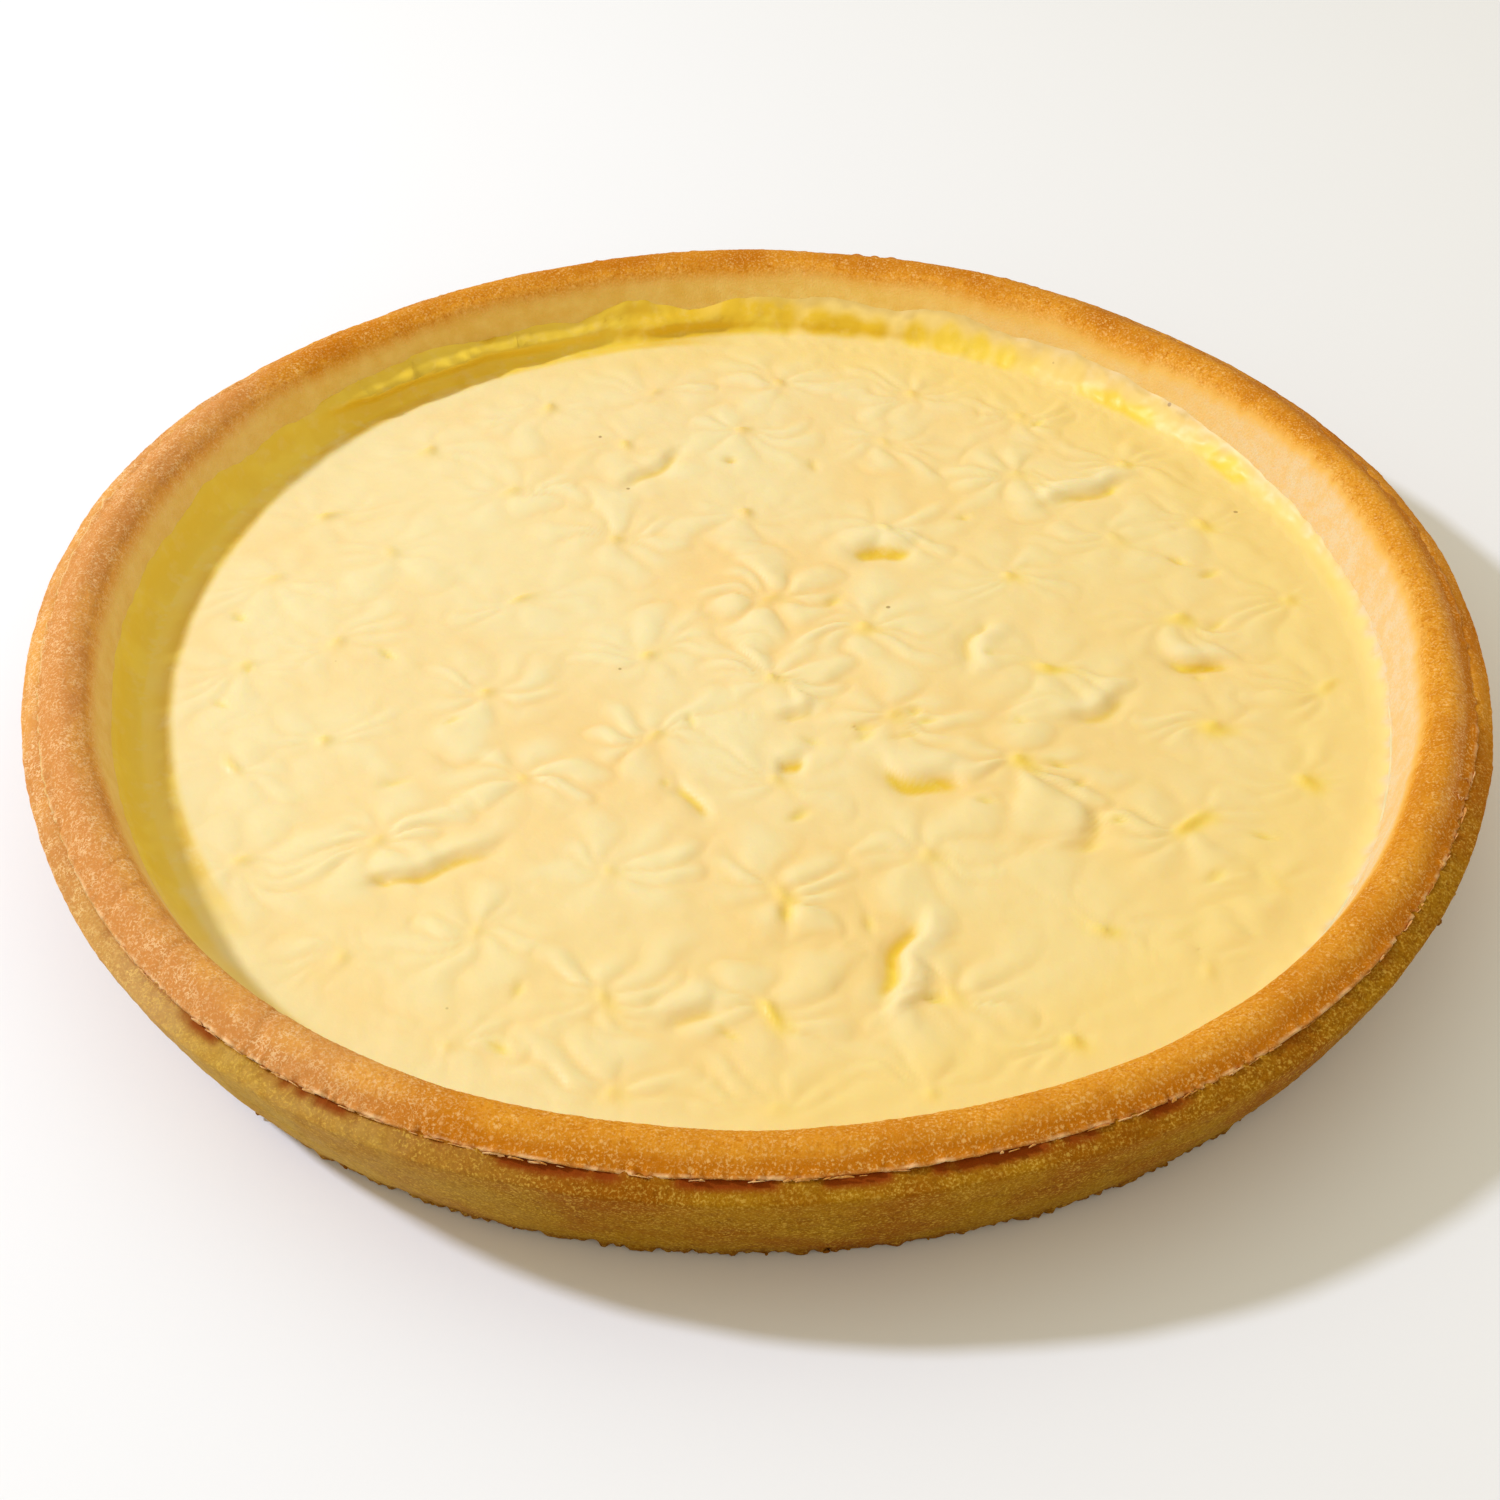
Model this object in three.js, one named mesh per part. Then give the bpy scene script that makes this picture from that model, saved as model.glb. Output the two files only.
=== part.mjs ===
// A round open custard tart: a browned yeast-dough case, leaning outwards, with a seam under its
// rounded rim, filled with baked custard that was piped in rosettes and climbs a little at the wall.
// Millimetres, +Z up, origin at the middle of the underside.
import * as THREE from 'three';
import { mergeVertices } from 'three/addons/utils/BufferGeometryUtils.js';

// Outside of the case
const WIDEST_RADIUS = 140;
const WIDEST_Z = 25;
const BASE_RADIUS = 130.8;
const BASE_ROUND = 1.5;
const WALL_LEAN = THREE.MathUtils.degToRad(25);
const WALL_BULGE = 0.8;

// Seam where the wall ends and the rim begins
const SHOULDER_RADIUS = 137.2;
const SHOULDER_Z = 27.2;
const SEAM_RADIUS = 135.6;
const SEAM_Z = 27.4;
const LIP_RADIUS = 136.4;
const LIP_Z = 28.2;
const SEAM_EXTRA_DEPTH = 0.8;
const SEAM_STRETCH = 3;
const LIP_RAGGEDNESS = 0.45;
const BASE_RAGGEDNESS = 0.5;

// Rim and inside of the case
const CREST_RADIUS = 131.2;
const CREST_Z = 31;
const RIM_OUTER_DROP = 0.8;
const RIM_BEND_RADIUS = 128;
const RIM_BEND_Z = 29.6;
const RIM_INNER_RADIUS = 126.4;
const RIM_INNER_Z = 26.4;
const FLOOR_RADIUS = 116;
const FLOOR_Z = 4;
const WALL_FOOT_RADIUS = 120.4;
const WALL_FOOT_Z = 6.4;

// Custard
const GAP = 0.3;
const LEVEL_Z = 15.5;
const FLAT_RADIUS = 116.5;
const EDGE_Z = 18.4;
const EDGE_CURVE = 2.2;
const EDGE_WAVES = [
  { turns: 9, amount: 0.2, startDeg: 10 },
  { turns: 14, amount: 0.2, startDeg: 0 },
];

// Piped pattern: one rosette in the middle and four rings of them round it
const PATTERN_CENTRE = new THREE.Vector2(3.3, -5.9);
const ROSETTE_RINGS = [
  { radius: 0, count: 1, startDeg: 0 },
  { radius: 26, count: 6, startDeg: 34 },
  { radius: 56.3, count: 12, startDeg: 2.5 },
  { radius: 86.1, count: 18, startDeg: 11.5 },
  { radius: 106.5, count: 24, startDeg: -1 },
];
const ROSETTE_SHIFT = 1.4;
const PEAK_HEIGHT = 1.5;
const PEAK_RADIUS = 2;
const PETALS = 9;
const PETAL_HEIGHT = 0.75;
const PETAL_INNER = 2.5;
const PETAL_OUTER = 16;
const BORDER_DEPTH = 0.6;
const BORDER_WIDTH = 2.6;
const SWELL_HEIGHT = 0.35;
const SWELL_LENGTH = { x: 19, y: 23, diagonal: 31 };
const PATTERN_FADES_FROM = 110;
const PATTERN_FADES_TO = 118;

// Torn pits and creases in the custard: centre, half length, half width, turn, depth and lip height
const TEARS = [
  { x: 27, y: 35.5, length: 10, width: 2.8, turnDeg: 2, depth: 2.2, lip: 1 },
  { x: 31, y: -35, length: 9, width: 2.6, turnDeg: -12, depth: 1.9, lip: 0.8 },
  { x: -11.5, y: -39.5, length: 6, width: 2.2, turnDeg: -58, depth: 1.6, lip: 0.7 },
  { x: 7.2, y: -30.6, length: 3.6, width: 2.6, turnDeg: 0, depth: 1.6, lip: 0.3 },
  { x: -57, y: -57.5, length: 13, width: 2.2, turnDeg: 24, depth: 1.5, lip: 0.5 },
  { x: -21, y: 65.5, length: 11, width: 2, turnDeg: 49, depth: 1.3, lip: 0.2 },
  { x: 24.5, y: -79, length: 12, width: 2.2, turnDeg: 252, depth: 1.7, lip: 1 },
  { x: 68, y: -14.5, length: 8, width: 2.2, turnDeg: 35, depth: 1.3, lip: 0.6 },
  { x: 43, y: 5.5, length: 8, width: 2, turnDeg: 251, depth: 1.2, lip: 0.7 },
  { x: 88, y: -0.6, length: 7, width: 2.2, turnDeg: -10, depth: 1.6, lip: 0.6 },
  { x: 73, y: 56, length: 12, width: 2.2, turnDeg: 24, depth: 1.2, lip: 0.8 },
  { x: 62, y: -47, length: 6, width: 2, turnDeg: 62, depth: 1.1, lip: 0.4 },
  { x: -10, y: -93, length: 5, width: 2, turnDeg: 36, depth: 1.1, lip: 0.4 },
];

// Unevenness of the hand-made case: waves of its outline and of the height of its rim
const OUTLINE_WAVES = [
  { turns: 2, amount: 0.65, startDeg: -27 },
  { turns: 3, amount: 0.3, startDeg: 14 },
  { turns: 4, amount: 0.65, startDeg: -35 },
  { turns: 5, amount: 0.6, startDeg: 17 },
];
const RIM_WAVES = [
  { turns: 3, amount: 0.2, startDeg: 80 },
  { turns: 8, amount: 0.2, startDeg: 20 },
  { turns: 13, amount: 0.15, startDeg: 65 },
];
const RIM_WAVE_FROM_Z = 15;

// Fineness of the facets
const SEGMENTS = 120;
const FLAT_RINGS = 31;
const CLIMB_STEPS = 4;
const SIDE_STEPS = 2;
const FOOT_STEPS = 3;
const WALL_STEPS = 4;
const SHOULDER_STEPS = 3;
const RIM_STEPS = 8;

/** A repeatable value from -1 to 1 for a whole number. */
function scatter(seed) {
  const wave = Math.sin(seed * 12.9898 + 4.1414) * 43758.5453;
  return 2 * (wave - Math.floor(wave)) - 1;
}

/** Sum of waves round the tart at an angle in radians. */
function waves(list, angle) {
  return list.reduce(
    (sum, { turns, amount, startDeg }) =>
      sum + amount * Math.cos(turns * (angle - THREE.MathUtils.degToRad(startDeg))),
    0,
  );
}

/** Moves a point of the ideal round tart to where the uneven one has it. */
function uneven(point) {
  const angle = Math.atan2(point.y, point.x);
  const radius = Math.hypot(point.x, point.y);
  const outward = waves(OUTLINE_WAVES, angle) * (radius / WIDEST_RADIUS) ** 3;
  const grown = radius > 0 ? (radius + outward) / radius : 1;
  const lift = waves(RIM_WAVES, angle) * THREE.MathUtils.smoothstep(point.z, RIM_WAVE_FROM_Z, CREST_Z);
  return point.set(point.x * grown, point.y * grown, point.z + lift);
}

/** Radius of the inner wall of the case at a height. */
function innerWallRadius(z) {
  const share = (z - WALL_FOOT_Z) / (RIM_INNER_Z - WALL_FOOT_Z);
  return THREE.MathUtils.lerp(WALL_FOOT_RADIUS, RIM_INNER_RADIUS, share);
}

/** Outline of the case from the axis below, over the rim and back to the axis inside. */
function caseOutline() {
  const at = (radius, z) => new THREE.Vector2(radius, z);
  const footCentre = at(BASE_RADIUS - BASE_ROUND, BASE_ROUND);
  const foot = new THREE.EllipseCurve(
    footCentre.x, footCentre.y, BASE_ROUND, BASE_ROUND, -Math.PI / 2, -WALL_LEAN,
  ).getPoints(FOOT_STEPS);
  const widest = at(WIDEST_RADIUS, WIDEST_Z);
  const wallMiddle = foot.at(-1).clone().lerp(widest, 0.5).add(at(WALL_BULGE, 0));
  const wall = new THREE.SplineCurve([foot.at(-1), wallMiddle, widest]).getPoints(WALL_STEPS).slice(1);
  const shoulder = new THREE.QuadraticBezierCurve(
    widest, at(WIDEST_RADIUS, SHOULDER_Z), at(SHOULDER_RADIUS, SHOULDER_Z),
  ).getPoints(SHOULDER_STEPS).slice(1);
  const rim = new THREE.SplineCurve([
    at(LIP_RADIUS, LIP_Z),
    at((LIP_RADIUS + CREST_RADIUS) / 2, CREST_Z - RIM_OUTER_DROP),
    at(CREST_RADIUS, CREST_Z),
    at(RIM_BEND_RADIUS, RIM_BEND_Z),
    at(RIM_INNER_RADIUS, RIM_INNER_Z),
  ]).getPoints(RIM_STEPS);
  const inside = [at(WALL_FOOT_RADIUS, WALL_FOOT_Z), at(FLOOR_RADIUS, FLOOR_Z), at(0, FLOOR_Z)];
  const seam = at(SEAM_RADIUS, SEAM_Z);
  const points = [at(0, 0), ...foot, ...wall, ...shoulder, seam, ...rim, ...inside];
  return { points, seamIndex: points.indexOf(seam), footIndex: points.indexOf(foot.at(-1)) };
}

/** Welds a geometry's shared corners and drops the triangles that this closes up. */
function weld(geometry) {
  geometry.deleteAttribute('normal');
  geometry.deleteAttribute('uv');
  const welded = mergeVertices(geometry, 1e-3);
  const corners = welded.index.array;
  const kept = [];
  for (let i = 0; i < corners.length; i += 3) {
    const [a, b, c] = corners.slice(i, i + 3);
    if (a !== b && b !== c && c !== a) kept.push(a, b, c);
  }
  welded.setIndex(kept);
  return welded;
}

/** Applies a change to every corner of a geometry. */
function moveCorners(geometry, change) {
  const position = geometry.getAttribute('position');
  const point = new THREE.Vector3();
  for (let i = 0; i < position.count; i += 1) {
    change(point.fromBufferAttribute(position, i), i);
    position.setXYZ(i, point.x, point.y, point.z);
  }
}

/** The dough case, turned from its outline, with a ragged seam, lip and foot. */
function caseGeometry() {
  const { points, seamIndex, footIndex } = caseOutline();
  const geometry = new THREE.LatheGeometry(points, SEGMENTS);
  moveCorners(geometry, (point, i) => {
    const row = i % points.length;
    const column = Math.floor(i / points.length) % SEGMENTS;
    const out = {
      [seamIndex]: -SEAM_EXTRA_DEPTH * Math.max(0, scatter(Math.floor(column / SEAM_STRETCH))),
      [seamIndex + 1]: LIP_RAGGEDNESS * scatter(column + SEGMENTS),
      [footIndex]: BASE_RAGGEDNESS * scatter(column + 2 * SEGMENTS),
    }[row] ?? 0;
    const radius = Math.hypot(point.x, point.z);
    const grown = radius > 0 ? (radius + out) / radius : 1;
    point.set(point.x * grown, point.y, point.z * grown);
  });
  geometry.rotateX(Math.PI / 2);
  const welded = weld(geometry);
  moveCorners(welded, uneven);
  return welded;
}

/** Centres of all the piped rosettes, each a little off its even place. */
function rosetteCentres() {
  const centres = [];
  for (const { radius, count, startDeg } of ROSETTE_RINGS) {
    for (let k = 0; k < count; k += 1) {
      const angle = THREE.MathUtils.degToRad(startDeg + (360 * k) / count);
      const seed = centres.length;
      centres.push(new THREE.Vector2(
        PATTERN_CENTRE.x + radius * Math.cos(angle) + ROSETTE_SHIFT * scatter(2 * seed),
        PATTERN_CENTRE.y + radius * Math.sin(angle) + ROSETTE_SHIFT * scatter(2 * seed + 1),
      ));
    }
  }
  return centres;
}

const ROSETTES = rosetteCentres();

/** Height of the piped rosettes above the custard's level: peaks, petals and the furrows between. */
function rosetteHeight(x, y) {
  const ranked = ROSETTES
    .map((centre, seed) => ({ centre, seed, away: Math.hypot(x - centre.x, y - centre.y) }))
    .sort((a, b) => a.away - b.away);
  const [nearest, next] = ranked;
  const angle = Math.atan2(y - nearest.centre.y, x - nearest.centre.x);
  const fold = Math.abs(Math.cos((PETALS * angle) / 2 + Math.PI * scatter(nearest.seed)));
  const spread = THREE.MathUtils.smoothstep(nearest.away, PETAL_INNER, 2 * PETAL_INNER)
    * (1 - THREE.MathUtils.smoothstep(nearest.away, PETAL_OUTER / 2, PETAL_OUTER));
  const peak = PEAK_HEIGHT * Math.exp(-((nearest.away / PEAK_RADIUS) ** 2));
  const petal = PETAL_HEIGHT * (fold - 0.5) * spread;
  const furrow = BORDER_DEPTH * Math.exp(-(((next.away - nearest.away) / BORDER_WIDTH) ** 2));
  return peak + petal - furrow;
}

/** Depth of the torn pits at a point, with the lips that stand up beside them. */
function tearHeight(x, y) {
  return TEARS.reduce((sum, { x: tearX, y: tearY, length, width, turnDeg, depth, lip }) => {
    const turn = THREE.MathUtils.degToRad(turnDeg);
    const along = (x - tearX) * Math.cos(turn) + (y - tearY) * Math.sin(turn);
    const across = (y - tearY) * Math.cos(turn) - (x - tearX) * Math.sin(turn);
    const reach = Math.exp(-((along / length) ** 2));
    const pit = depth * Math.exp(-((across / width) ** 2));
    const raised = lip * Math.exp(-(((across - 2 * width) / width) ** 2));
    return sum + reach * (raised - pit);
  }, 0);
}

/** Slow swell of the custard's surface. */
function swellHeight(x, y) {
  const crossed = Math.sin(x / SWELL_LENGTH.x) * Math.cos(y / SWELL_LENGTH.y);
  return SWELL_HEIGHT * (crossed + Math.sin((x - y) / SWELL_LENGTH.diagonal) / 2);
}

/** Height of the top of the custard at a point of its flat part. */
function custardTop(x, y) {
  const inside = 1 - THREE.MathUtils.smoothstep(Math.hypot(x, y), PATTERN_FADES_FROM, PATTERN_FADES_TO);
  return LEVEL_Z + inside * (rosetteHeight(x, y) + tearHeight(x, y) + swellHeight(x, y));
}

/** A ring of points round the axis, with radius and height given by functions of the angle. */
function ring(count, radiusAt, heightAt) {
  return Array.from({ length: count }, (_, k) => {
    const angle = (2 * Math.PI * k) / count;
    const radius = radiusAt(angle);
    return new THREE.Vector3(radius * Math.cos(angle), radius * Math.sin(angle), heightAt(angle));
  });
}

/** Rings of the flat part of the custard's top, with a corner moved onto each rosette's peak. */
function flatRings() {
  const rings = [];
  for (let i = 1; i <= FLAT_RINGS; i += 1) {
    rings.push(ring(6 * i, () => (FLAT_RADIUS * i) / FLAT_RINGS, () => LEVEL_Z));
  }
  const corners = rings.slice(0, -1).flat();
  for (const centre of ROSETTES) {
    const away = (corner) => Math.hypot(corner.x - centre.x, corner.y - centre.y);
    const closest = corners.reduce((best, corner) => (away(corner) < away(best) ? corner : best));
    closest.setX(centre.x).setY(centre.y);
  }
  for (const corner of rings.flat()) corner.setZ(custardTop(corner.x, corner.y));
  return rings;
}

/** Rings of the custard's rise to the wall, and of its side and foot against the wall. */
function edgeAndSideRings() {
  const edgeTop = (angle) => EDGE_Z + waves(EDGE_WAVES, angle);
  const sideRadius = (z) => innerWallRadius(z) - GAP;
  const rings = [];
  for (let i = 1; i <= CLIMB_STEPS; i += 1) {
    const share = i / CLIMB_STEPS;
    rings.push(ring(
      SEGMENTS,
      (angle) => THREE.MathUtils.lerp(FLAT_RADIUS, sideRadius(edgeTop(angle)), share),
      (angle) => THREE.MathUtils.lerp(LEVEL_Z, edgeTop(angle), share ** EDGE_CURVE),
    ));
  }
  for (let i = 1; i <= SIDE_STEPS; i += 1) {
    const heightAt = (angle) => THREE.MathUtils.lerp(edgeTop(angle), WALL_FOOT_Z, i / SIDE_STEPS);
    rings.push(ring(SEGMENTS, (angle) => sideRadius(heightAt(angle)), heightAt));
  }
  rings.push(ring(SEGMENTS, () => FLOOR_RADIUS - GAP, () => FLOOR_Z + GAP));
  return rings;
}

/** Triangles of a closed body from a first point, rings of points and a last point, facing out. */
function closedBody(first, rings, last) {
  const points = [first, ...rings.flat(), last];
  const triangles = [];
  const starts = [];
  let start = 1;
  for (const loop of rings) {
    starts.push(start);
    start += loop.length;
  }
  const corner = (loop, k) => starts[loop] + (k % rings[loop].length);
  for (let k = 0; k < rings[0].length; k += 1) triangles.push(0, corner(0, k), corner(0, k + 1));
  for (let loop = 0; loop + 1 < rings.length; loop += 1) {
    const [inner, outer] = [rings[loop].length, rings[loop + 1].length];
    let [i, j] = [0, 0];
    while (i < inner || j < outer) {
      const stepOuter = i === inner || (j < outer && (j + 1) / outer <= (i + 1) / inner);
      const third = stepOuter ? corner(loop + 1, j + 1) : corner(loop, i + 1);
      triangles.push(corner(loop, i), corner(loop + 1, j), third);
      if (stepOuter) j += 1;
      else i += 1;
    }
  }
  const end = rings.length - 1;
  for (let k = 0; k < rings[end].length; k += 1) triangles.push(corner(end, k), start, corner(end, k + 1));
  const geometry = new THREE.BufferGeometry().setFromPoints(points);
  geometry.setIndex(triangles);
  return geometry;
}

/** The custard filling: piped top, rise to the wall, side and underside. */
function custardGeometry() {
  const top = new THREE.Vector3(0, 0, custardTop(0, 0));
  const bottom = new THREE.Vector3(0, 0, FLOOR_Z + GAP);
  const geometry = closedBody(top, [...flatRings(), ...edgeAndSideRings()], bottom);
  moveCorners(geometry, uneven);
  return geometry;
}

/** A named piece of the tart with its own material. */
function piece(name, geometry, look) {
  geometry.computeVertexNormals();
  const mesh = new THREE.Mesh(geometry, new THREE.MeshStandardMaterial({ metalness: 0, ...look }));
  mesh.name = name;
  return mesh;
}

const crust = piece('crust', caseGeometry(), { color: 0xd9963c, roughness: 0.75 });
const custard = piece('custard', custardGeometry(), { color: 0xfada87, roughness: 0.4 });

// The uneven case is centred over the origin, and the custard goes with it
crust.geometry.computeBoundingBox();
const middle = crust.geometry.boundingBox.getCenter(new THREE.Vector3());
const vlaai = new THREE.Group();
vlaai.name = 'vlaai';
for (const mesh of [crust, custard]) {
  mesh.position.set(-middle.x, -middle.y, 0);
  vlaai.add(mesh);
}

export default vlaai;
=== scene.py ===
"""Dresses a custard vlaai: a browned dough case with a rounded rim, filled with piped, baked custard."""

import logging
import math
from dataclasses import dataclass, field
from enum import Enum
from typing import NamedTuple

import bpy
import numpy as np
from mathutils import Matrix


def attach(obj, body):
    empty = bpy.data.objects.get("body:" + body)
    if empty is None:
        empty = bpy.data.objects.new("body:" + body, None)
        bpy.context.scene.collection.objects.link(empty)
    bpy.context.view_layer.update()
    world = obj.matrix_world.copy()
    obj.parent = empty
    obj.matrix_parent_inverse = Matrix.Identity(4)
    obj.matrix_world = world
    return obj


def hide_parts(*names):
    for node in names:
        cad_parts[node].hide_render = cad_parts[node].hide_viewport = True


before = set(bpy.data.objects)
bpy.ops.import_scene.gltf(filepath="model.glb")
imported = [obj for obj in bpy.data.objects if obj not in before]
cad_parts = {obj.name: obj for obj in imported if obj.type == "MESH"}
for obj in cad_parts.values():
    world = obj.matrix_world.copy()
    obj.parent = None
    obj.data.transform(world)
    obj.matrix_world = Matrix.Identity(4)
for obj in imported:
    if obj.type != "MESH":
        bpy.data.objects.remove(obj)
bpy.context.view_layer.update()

LOG = logging.getLogger("vlaai")
MM = 0.001
TURN = 2.0 * math.pi
BODY = "root"
WELD = 0.005 * MM
NOISE_STEPS = 8192
CURVE_STEPS = 64
SCATTER_STEP, SCATTER_START, SCATTER_GAIN = 12.9898, 4.1414, 43758.5453

Piece = bpy.types.Object
Socket = bpy.types.NodeSocket
Numbers = np.ndarray
Colour = tuple[float, float, float, float]
Point = tuple[float, float]
Triple = tuple[float, float, float]
# Size of a noise in millimetres, its finer layers and their strength.
Cloud = Triple
# A fade in a finish, with the most that it reaches where that isn't 1.
Ease = tuple[float, ...]


class Fade(NamedTuple):
    """Eases numbers from 0 at its start to 1 at its end, in either direction."""

    start: float
    end: float

    def at(self, values: Numbers | float) -> Numbers:
        """The eased numbers, from 0 to 1."""
        share = np.clip((np.asarray(values, float) - self.start) / (self.end - self.start), 0.0, 1.0)
        return share * share * (3.0 - 2.0 * share)


class Span(NamedTuple):
    """Two limits, for draws between them or for a share that goes evenly from one to the other."""

    start: float
    end: float

    def at(self, share: Numbers) -> Numbers:
        """The start where a share is 0, the end where it is 1."""
        return self.start + (self.end - self.start) * share


def scatter(seed: int) -> float:
    """Gives a repeatable number from -1 to 1 for a whole number, as in the solids."""
    return 2.0 * ((math.sin(seed * SCATTER_STEP + SCATTER_START) * SCATTER_GAIN) % 1.0) - 1.0


@dataclass(frozen=True)
class Wave:
    """One wave round the tart: its crests in a turn, its height and where a crest is."""

    turns: int
    amount: float
    start_deg: float

    def at(self, angle: Numbers) -> Numbers:
        """Height of the wave at angles in radians."""
        return self.amount * np.cos(self.turns * (angle - math.radians(self.start_deg)))


@dataclass(frozen=True)
class RingNoise:
    """Noise that closes on itself round the tart: its fewest and most crests in a turn, seed and spread."""

    fewest: int
    most: int
    seed: int
    amount: float = 1.0

    def at(self, angle: Numbers) -> Numbers:
        """Noise round 0.

        Args:
            angle: the angles round the axis, in radians.

        Returns:
            The noise at each angle.
        """
        turns = np.arange(self.fewest, self.most + 1)
        starts = np.random.default_rng(self.seed).uniform(0.0, TURN, turns.size)
        table = np.linspace(0.0, TURN, NOISE_STEPS, endpoint=False)
        waves = np.cos(np.outer(table, turns) + starts).sum(axis=1) * math.sqrt(2.0 / turns.size)
        return self.amount * np.interp(np.mod(angle, TURN), table, waves, period=TURN)


@dataclass(frozen=True)
class Stretch:
    """A stretch of the tart's edge: its middle, half its full part, how far it takes to fade, its amount."""

    middle_deg: float
    half_deg: float
    soft_deg: float
    amount: float = 1.0

    def at(self, angle: Numbers) -> Numbers:
        """The amount inside the stretch and 0 away from it, at angles in radians."""
        away = np.abs((np.degrees(angle) - self.middle_deg + 180.0) % 360.0 - 180.0)
        return self.amount * Fade(self.half_deg + self.soft_deg, self.half_deg).at(away)


RoundTart = Wave | RingNoise | Stretch


def total(parts: tuple[RoundTart, ...], angle: Numbers) -> Numbers:
    """Adds up waves, noises and stretches at angles in radians."""
    return sum(part.at(angle) for part in parts)


def select_only(piece: Piece) -> None:
    """Makes a piece the only selected and the active one.

    Args:
        piece: the piece to work on.
    """
    bpy.ops.object.select_all(action="DESELECT")
    piece.select_set(True)
    bpy.context.view_layer.objects.active = piece


def name_piece(piece: Piece, name: str) -> None:
    """Names a piece and its mesh alike."""
    piece.name = name
    piece.data.name = name


def read_rows(items: bpy.types.bpy_prop_collection, name: str) -> Numbers:
    """Reads three numbers from each item of a mesh.

    Args:
        items: the mesh's corners or normals.
        name: what to read from each.

    Returns:
        The numbers, one item a row.
    """
    flat = np.empty(len(items) * 3, np.float32)
    items.foreach_get(name, flat)
    return flat.reshape(-1, 3).astype(float)


def corners(piece: Piece) -> Numbers:
    """The corners of a piece's mesh, one a row, in metres."""
    return read_rows(piece.data.vertices, "co")


def corner_normals(piece: Piece) -> Numbers:
    """The smooth normals at those corners, one a row."""
    return read_rows(piece.data.vertex_normals, "vector")


def set_corners(piece: Piece, points: Numbers) -> None:
    """Puts the corners of a piece's mesh in place, in metres."""
    piece.data.vertices.foreach_set("co", np.asarray(points, np.float32).ravel())
    piece.data.update()


def store(piece: Piece, **marks: Numbers) -> None:
    """Keeps numbers for the piece's finish to read.

    Args:
        piece: the piece to mark.
        marks: for each name, one number for each corner.
    """
    for name, values in marks.items():
        mark = piece.data.attributes.new(name, "FLOAT", "POINT")
        mark.data.foreach_set("value", np.asarray(values, np.float32))


def dress(piece: Piece, material: bpy.types.Material, node: str | None) -> Piece:
    """Gives a piece its finish and its place in the model.

    Args:
        piece: the finished mesh.
        material: its finish.
        node: the solid that it stands for, if it stands for one.

    Returns:
        The same piece.
    """
    piece.data.materials.clear()
    piece.data.materials.append(material)
    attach(piece, BODY)
    if node is not None:
        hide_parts(node)
    return piece


def spline(points: list[Point]) -> list[Point]:
    """A smooth curve through points, as the solids have it.

    Args:
        points: the points that it passes through.

    Returns:
        Points along the curve, from the first point to the last.
    """
    at = np.array(points, float)
    last = len(at) - 1
    curve = []
    for i in range(last):
        before, start, end, after = at[max(i - 1, 0)], at[i], at[i + 1], at[min(i + 2, last)]
        leave, arrive = (end - before) / 2.0, (after - start) / 2.0
        for t in np.arange(CURVE_STEPS) / CURVE_STEPS:
            cubic = (2.0 * start - 2.0 * end + leave + arrive) * t**3
            square = (-3.0 * start + 3.0 * end - 2.0 * leave - arrive) * t**2
            curve.append(tuple(cubic + square + leave * t + start))
    return [*curve, tuple(at[last])]


class Zone(Enum):
    """Stretches of the outline that the case and the rim are turned from."""

    HIDDEN = 0
    UNDERSIDE = 1
    FOOT = 2
    WALL = 3
    SHOULDER = 4
    SEAM = 5
    LIP = 6
    RIM = 7
    INSIDE = 8


class GrainBasis(Enum):
    """Kinds of noise that can be pressed into a surface."""

    SOFT = "BLENDER_ORIGINAL"
    FLOWING = "IMPROVED_PERLIN"


class Sum(Enum):
    """Sums that the nodes of a finish work out."""

    PLUS = "ADD"
    LESS = "SUBTRACT"
    TIMES = "MULTIPLY"
    OVER = "DIVIDE"
    MOST = "MAXIMUM"


@dataclass(frozen=True)
class Grain:
    """Unevenness that a displacing modifier presses into a surface; size and depth in millimetres."""

    basis: GrainBasis
    size: float
    depth: float
    octaves: int = 1

    def press(self, piece: Piece, weight: Numbers) -> Numbers:
        """Presses the grain into a piece.

        Args:
            piece: the piece to roughen.
            weight: how much of the grain each corner takes.

        Returns:
            How far each corner moved outwards, in millimetres.
        """
        before, normals = corners(piece), corner_normals(piece)
        texture = bpy.data.textures.new("grain", type="CLOUDS")
        texture.noise_basis = self.basis.value
        texture.noise_scale = self.size * MM
        texture.noise_depth = self.octaves
        modifier = piece.modifiers.new("grain", "DISPLACE")
        modifier.texture = texture
        modifier.texture_coords = "LOCAL"
        modifier.mid_level = 0.5
        modifier.strength = self.depth * MM
        select_only(piece)
        bpy.ops.object.modifier_apply(modifier=modifier.name)
        bpy.data.textures.remove(texture)
        moved = (corners(piece) - before) * np.asarray(weight)[:, None]
        set_corners(piece, before + moved)
        return (moved * normals).sum(axis=1) / MM


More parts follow.
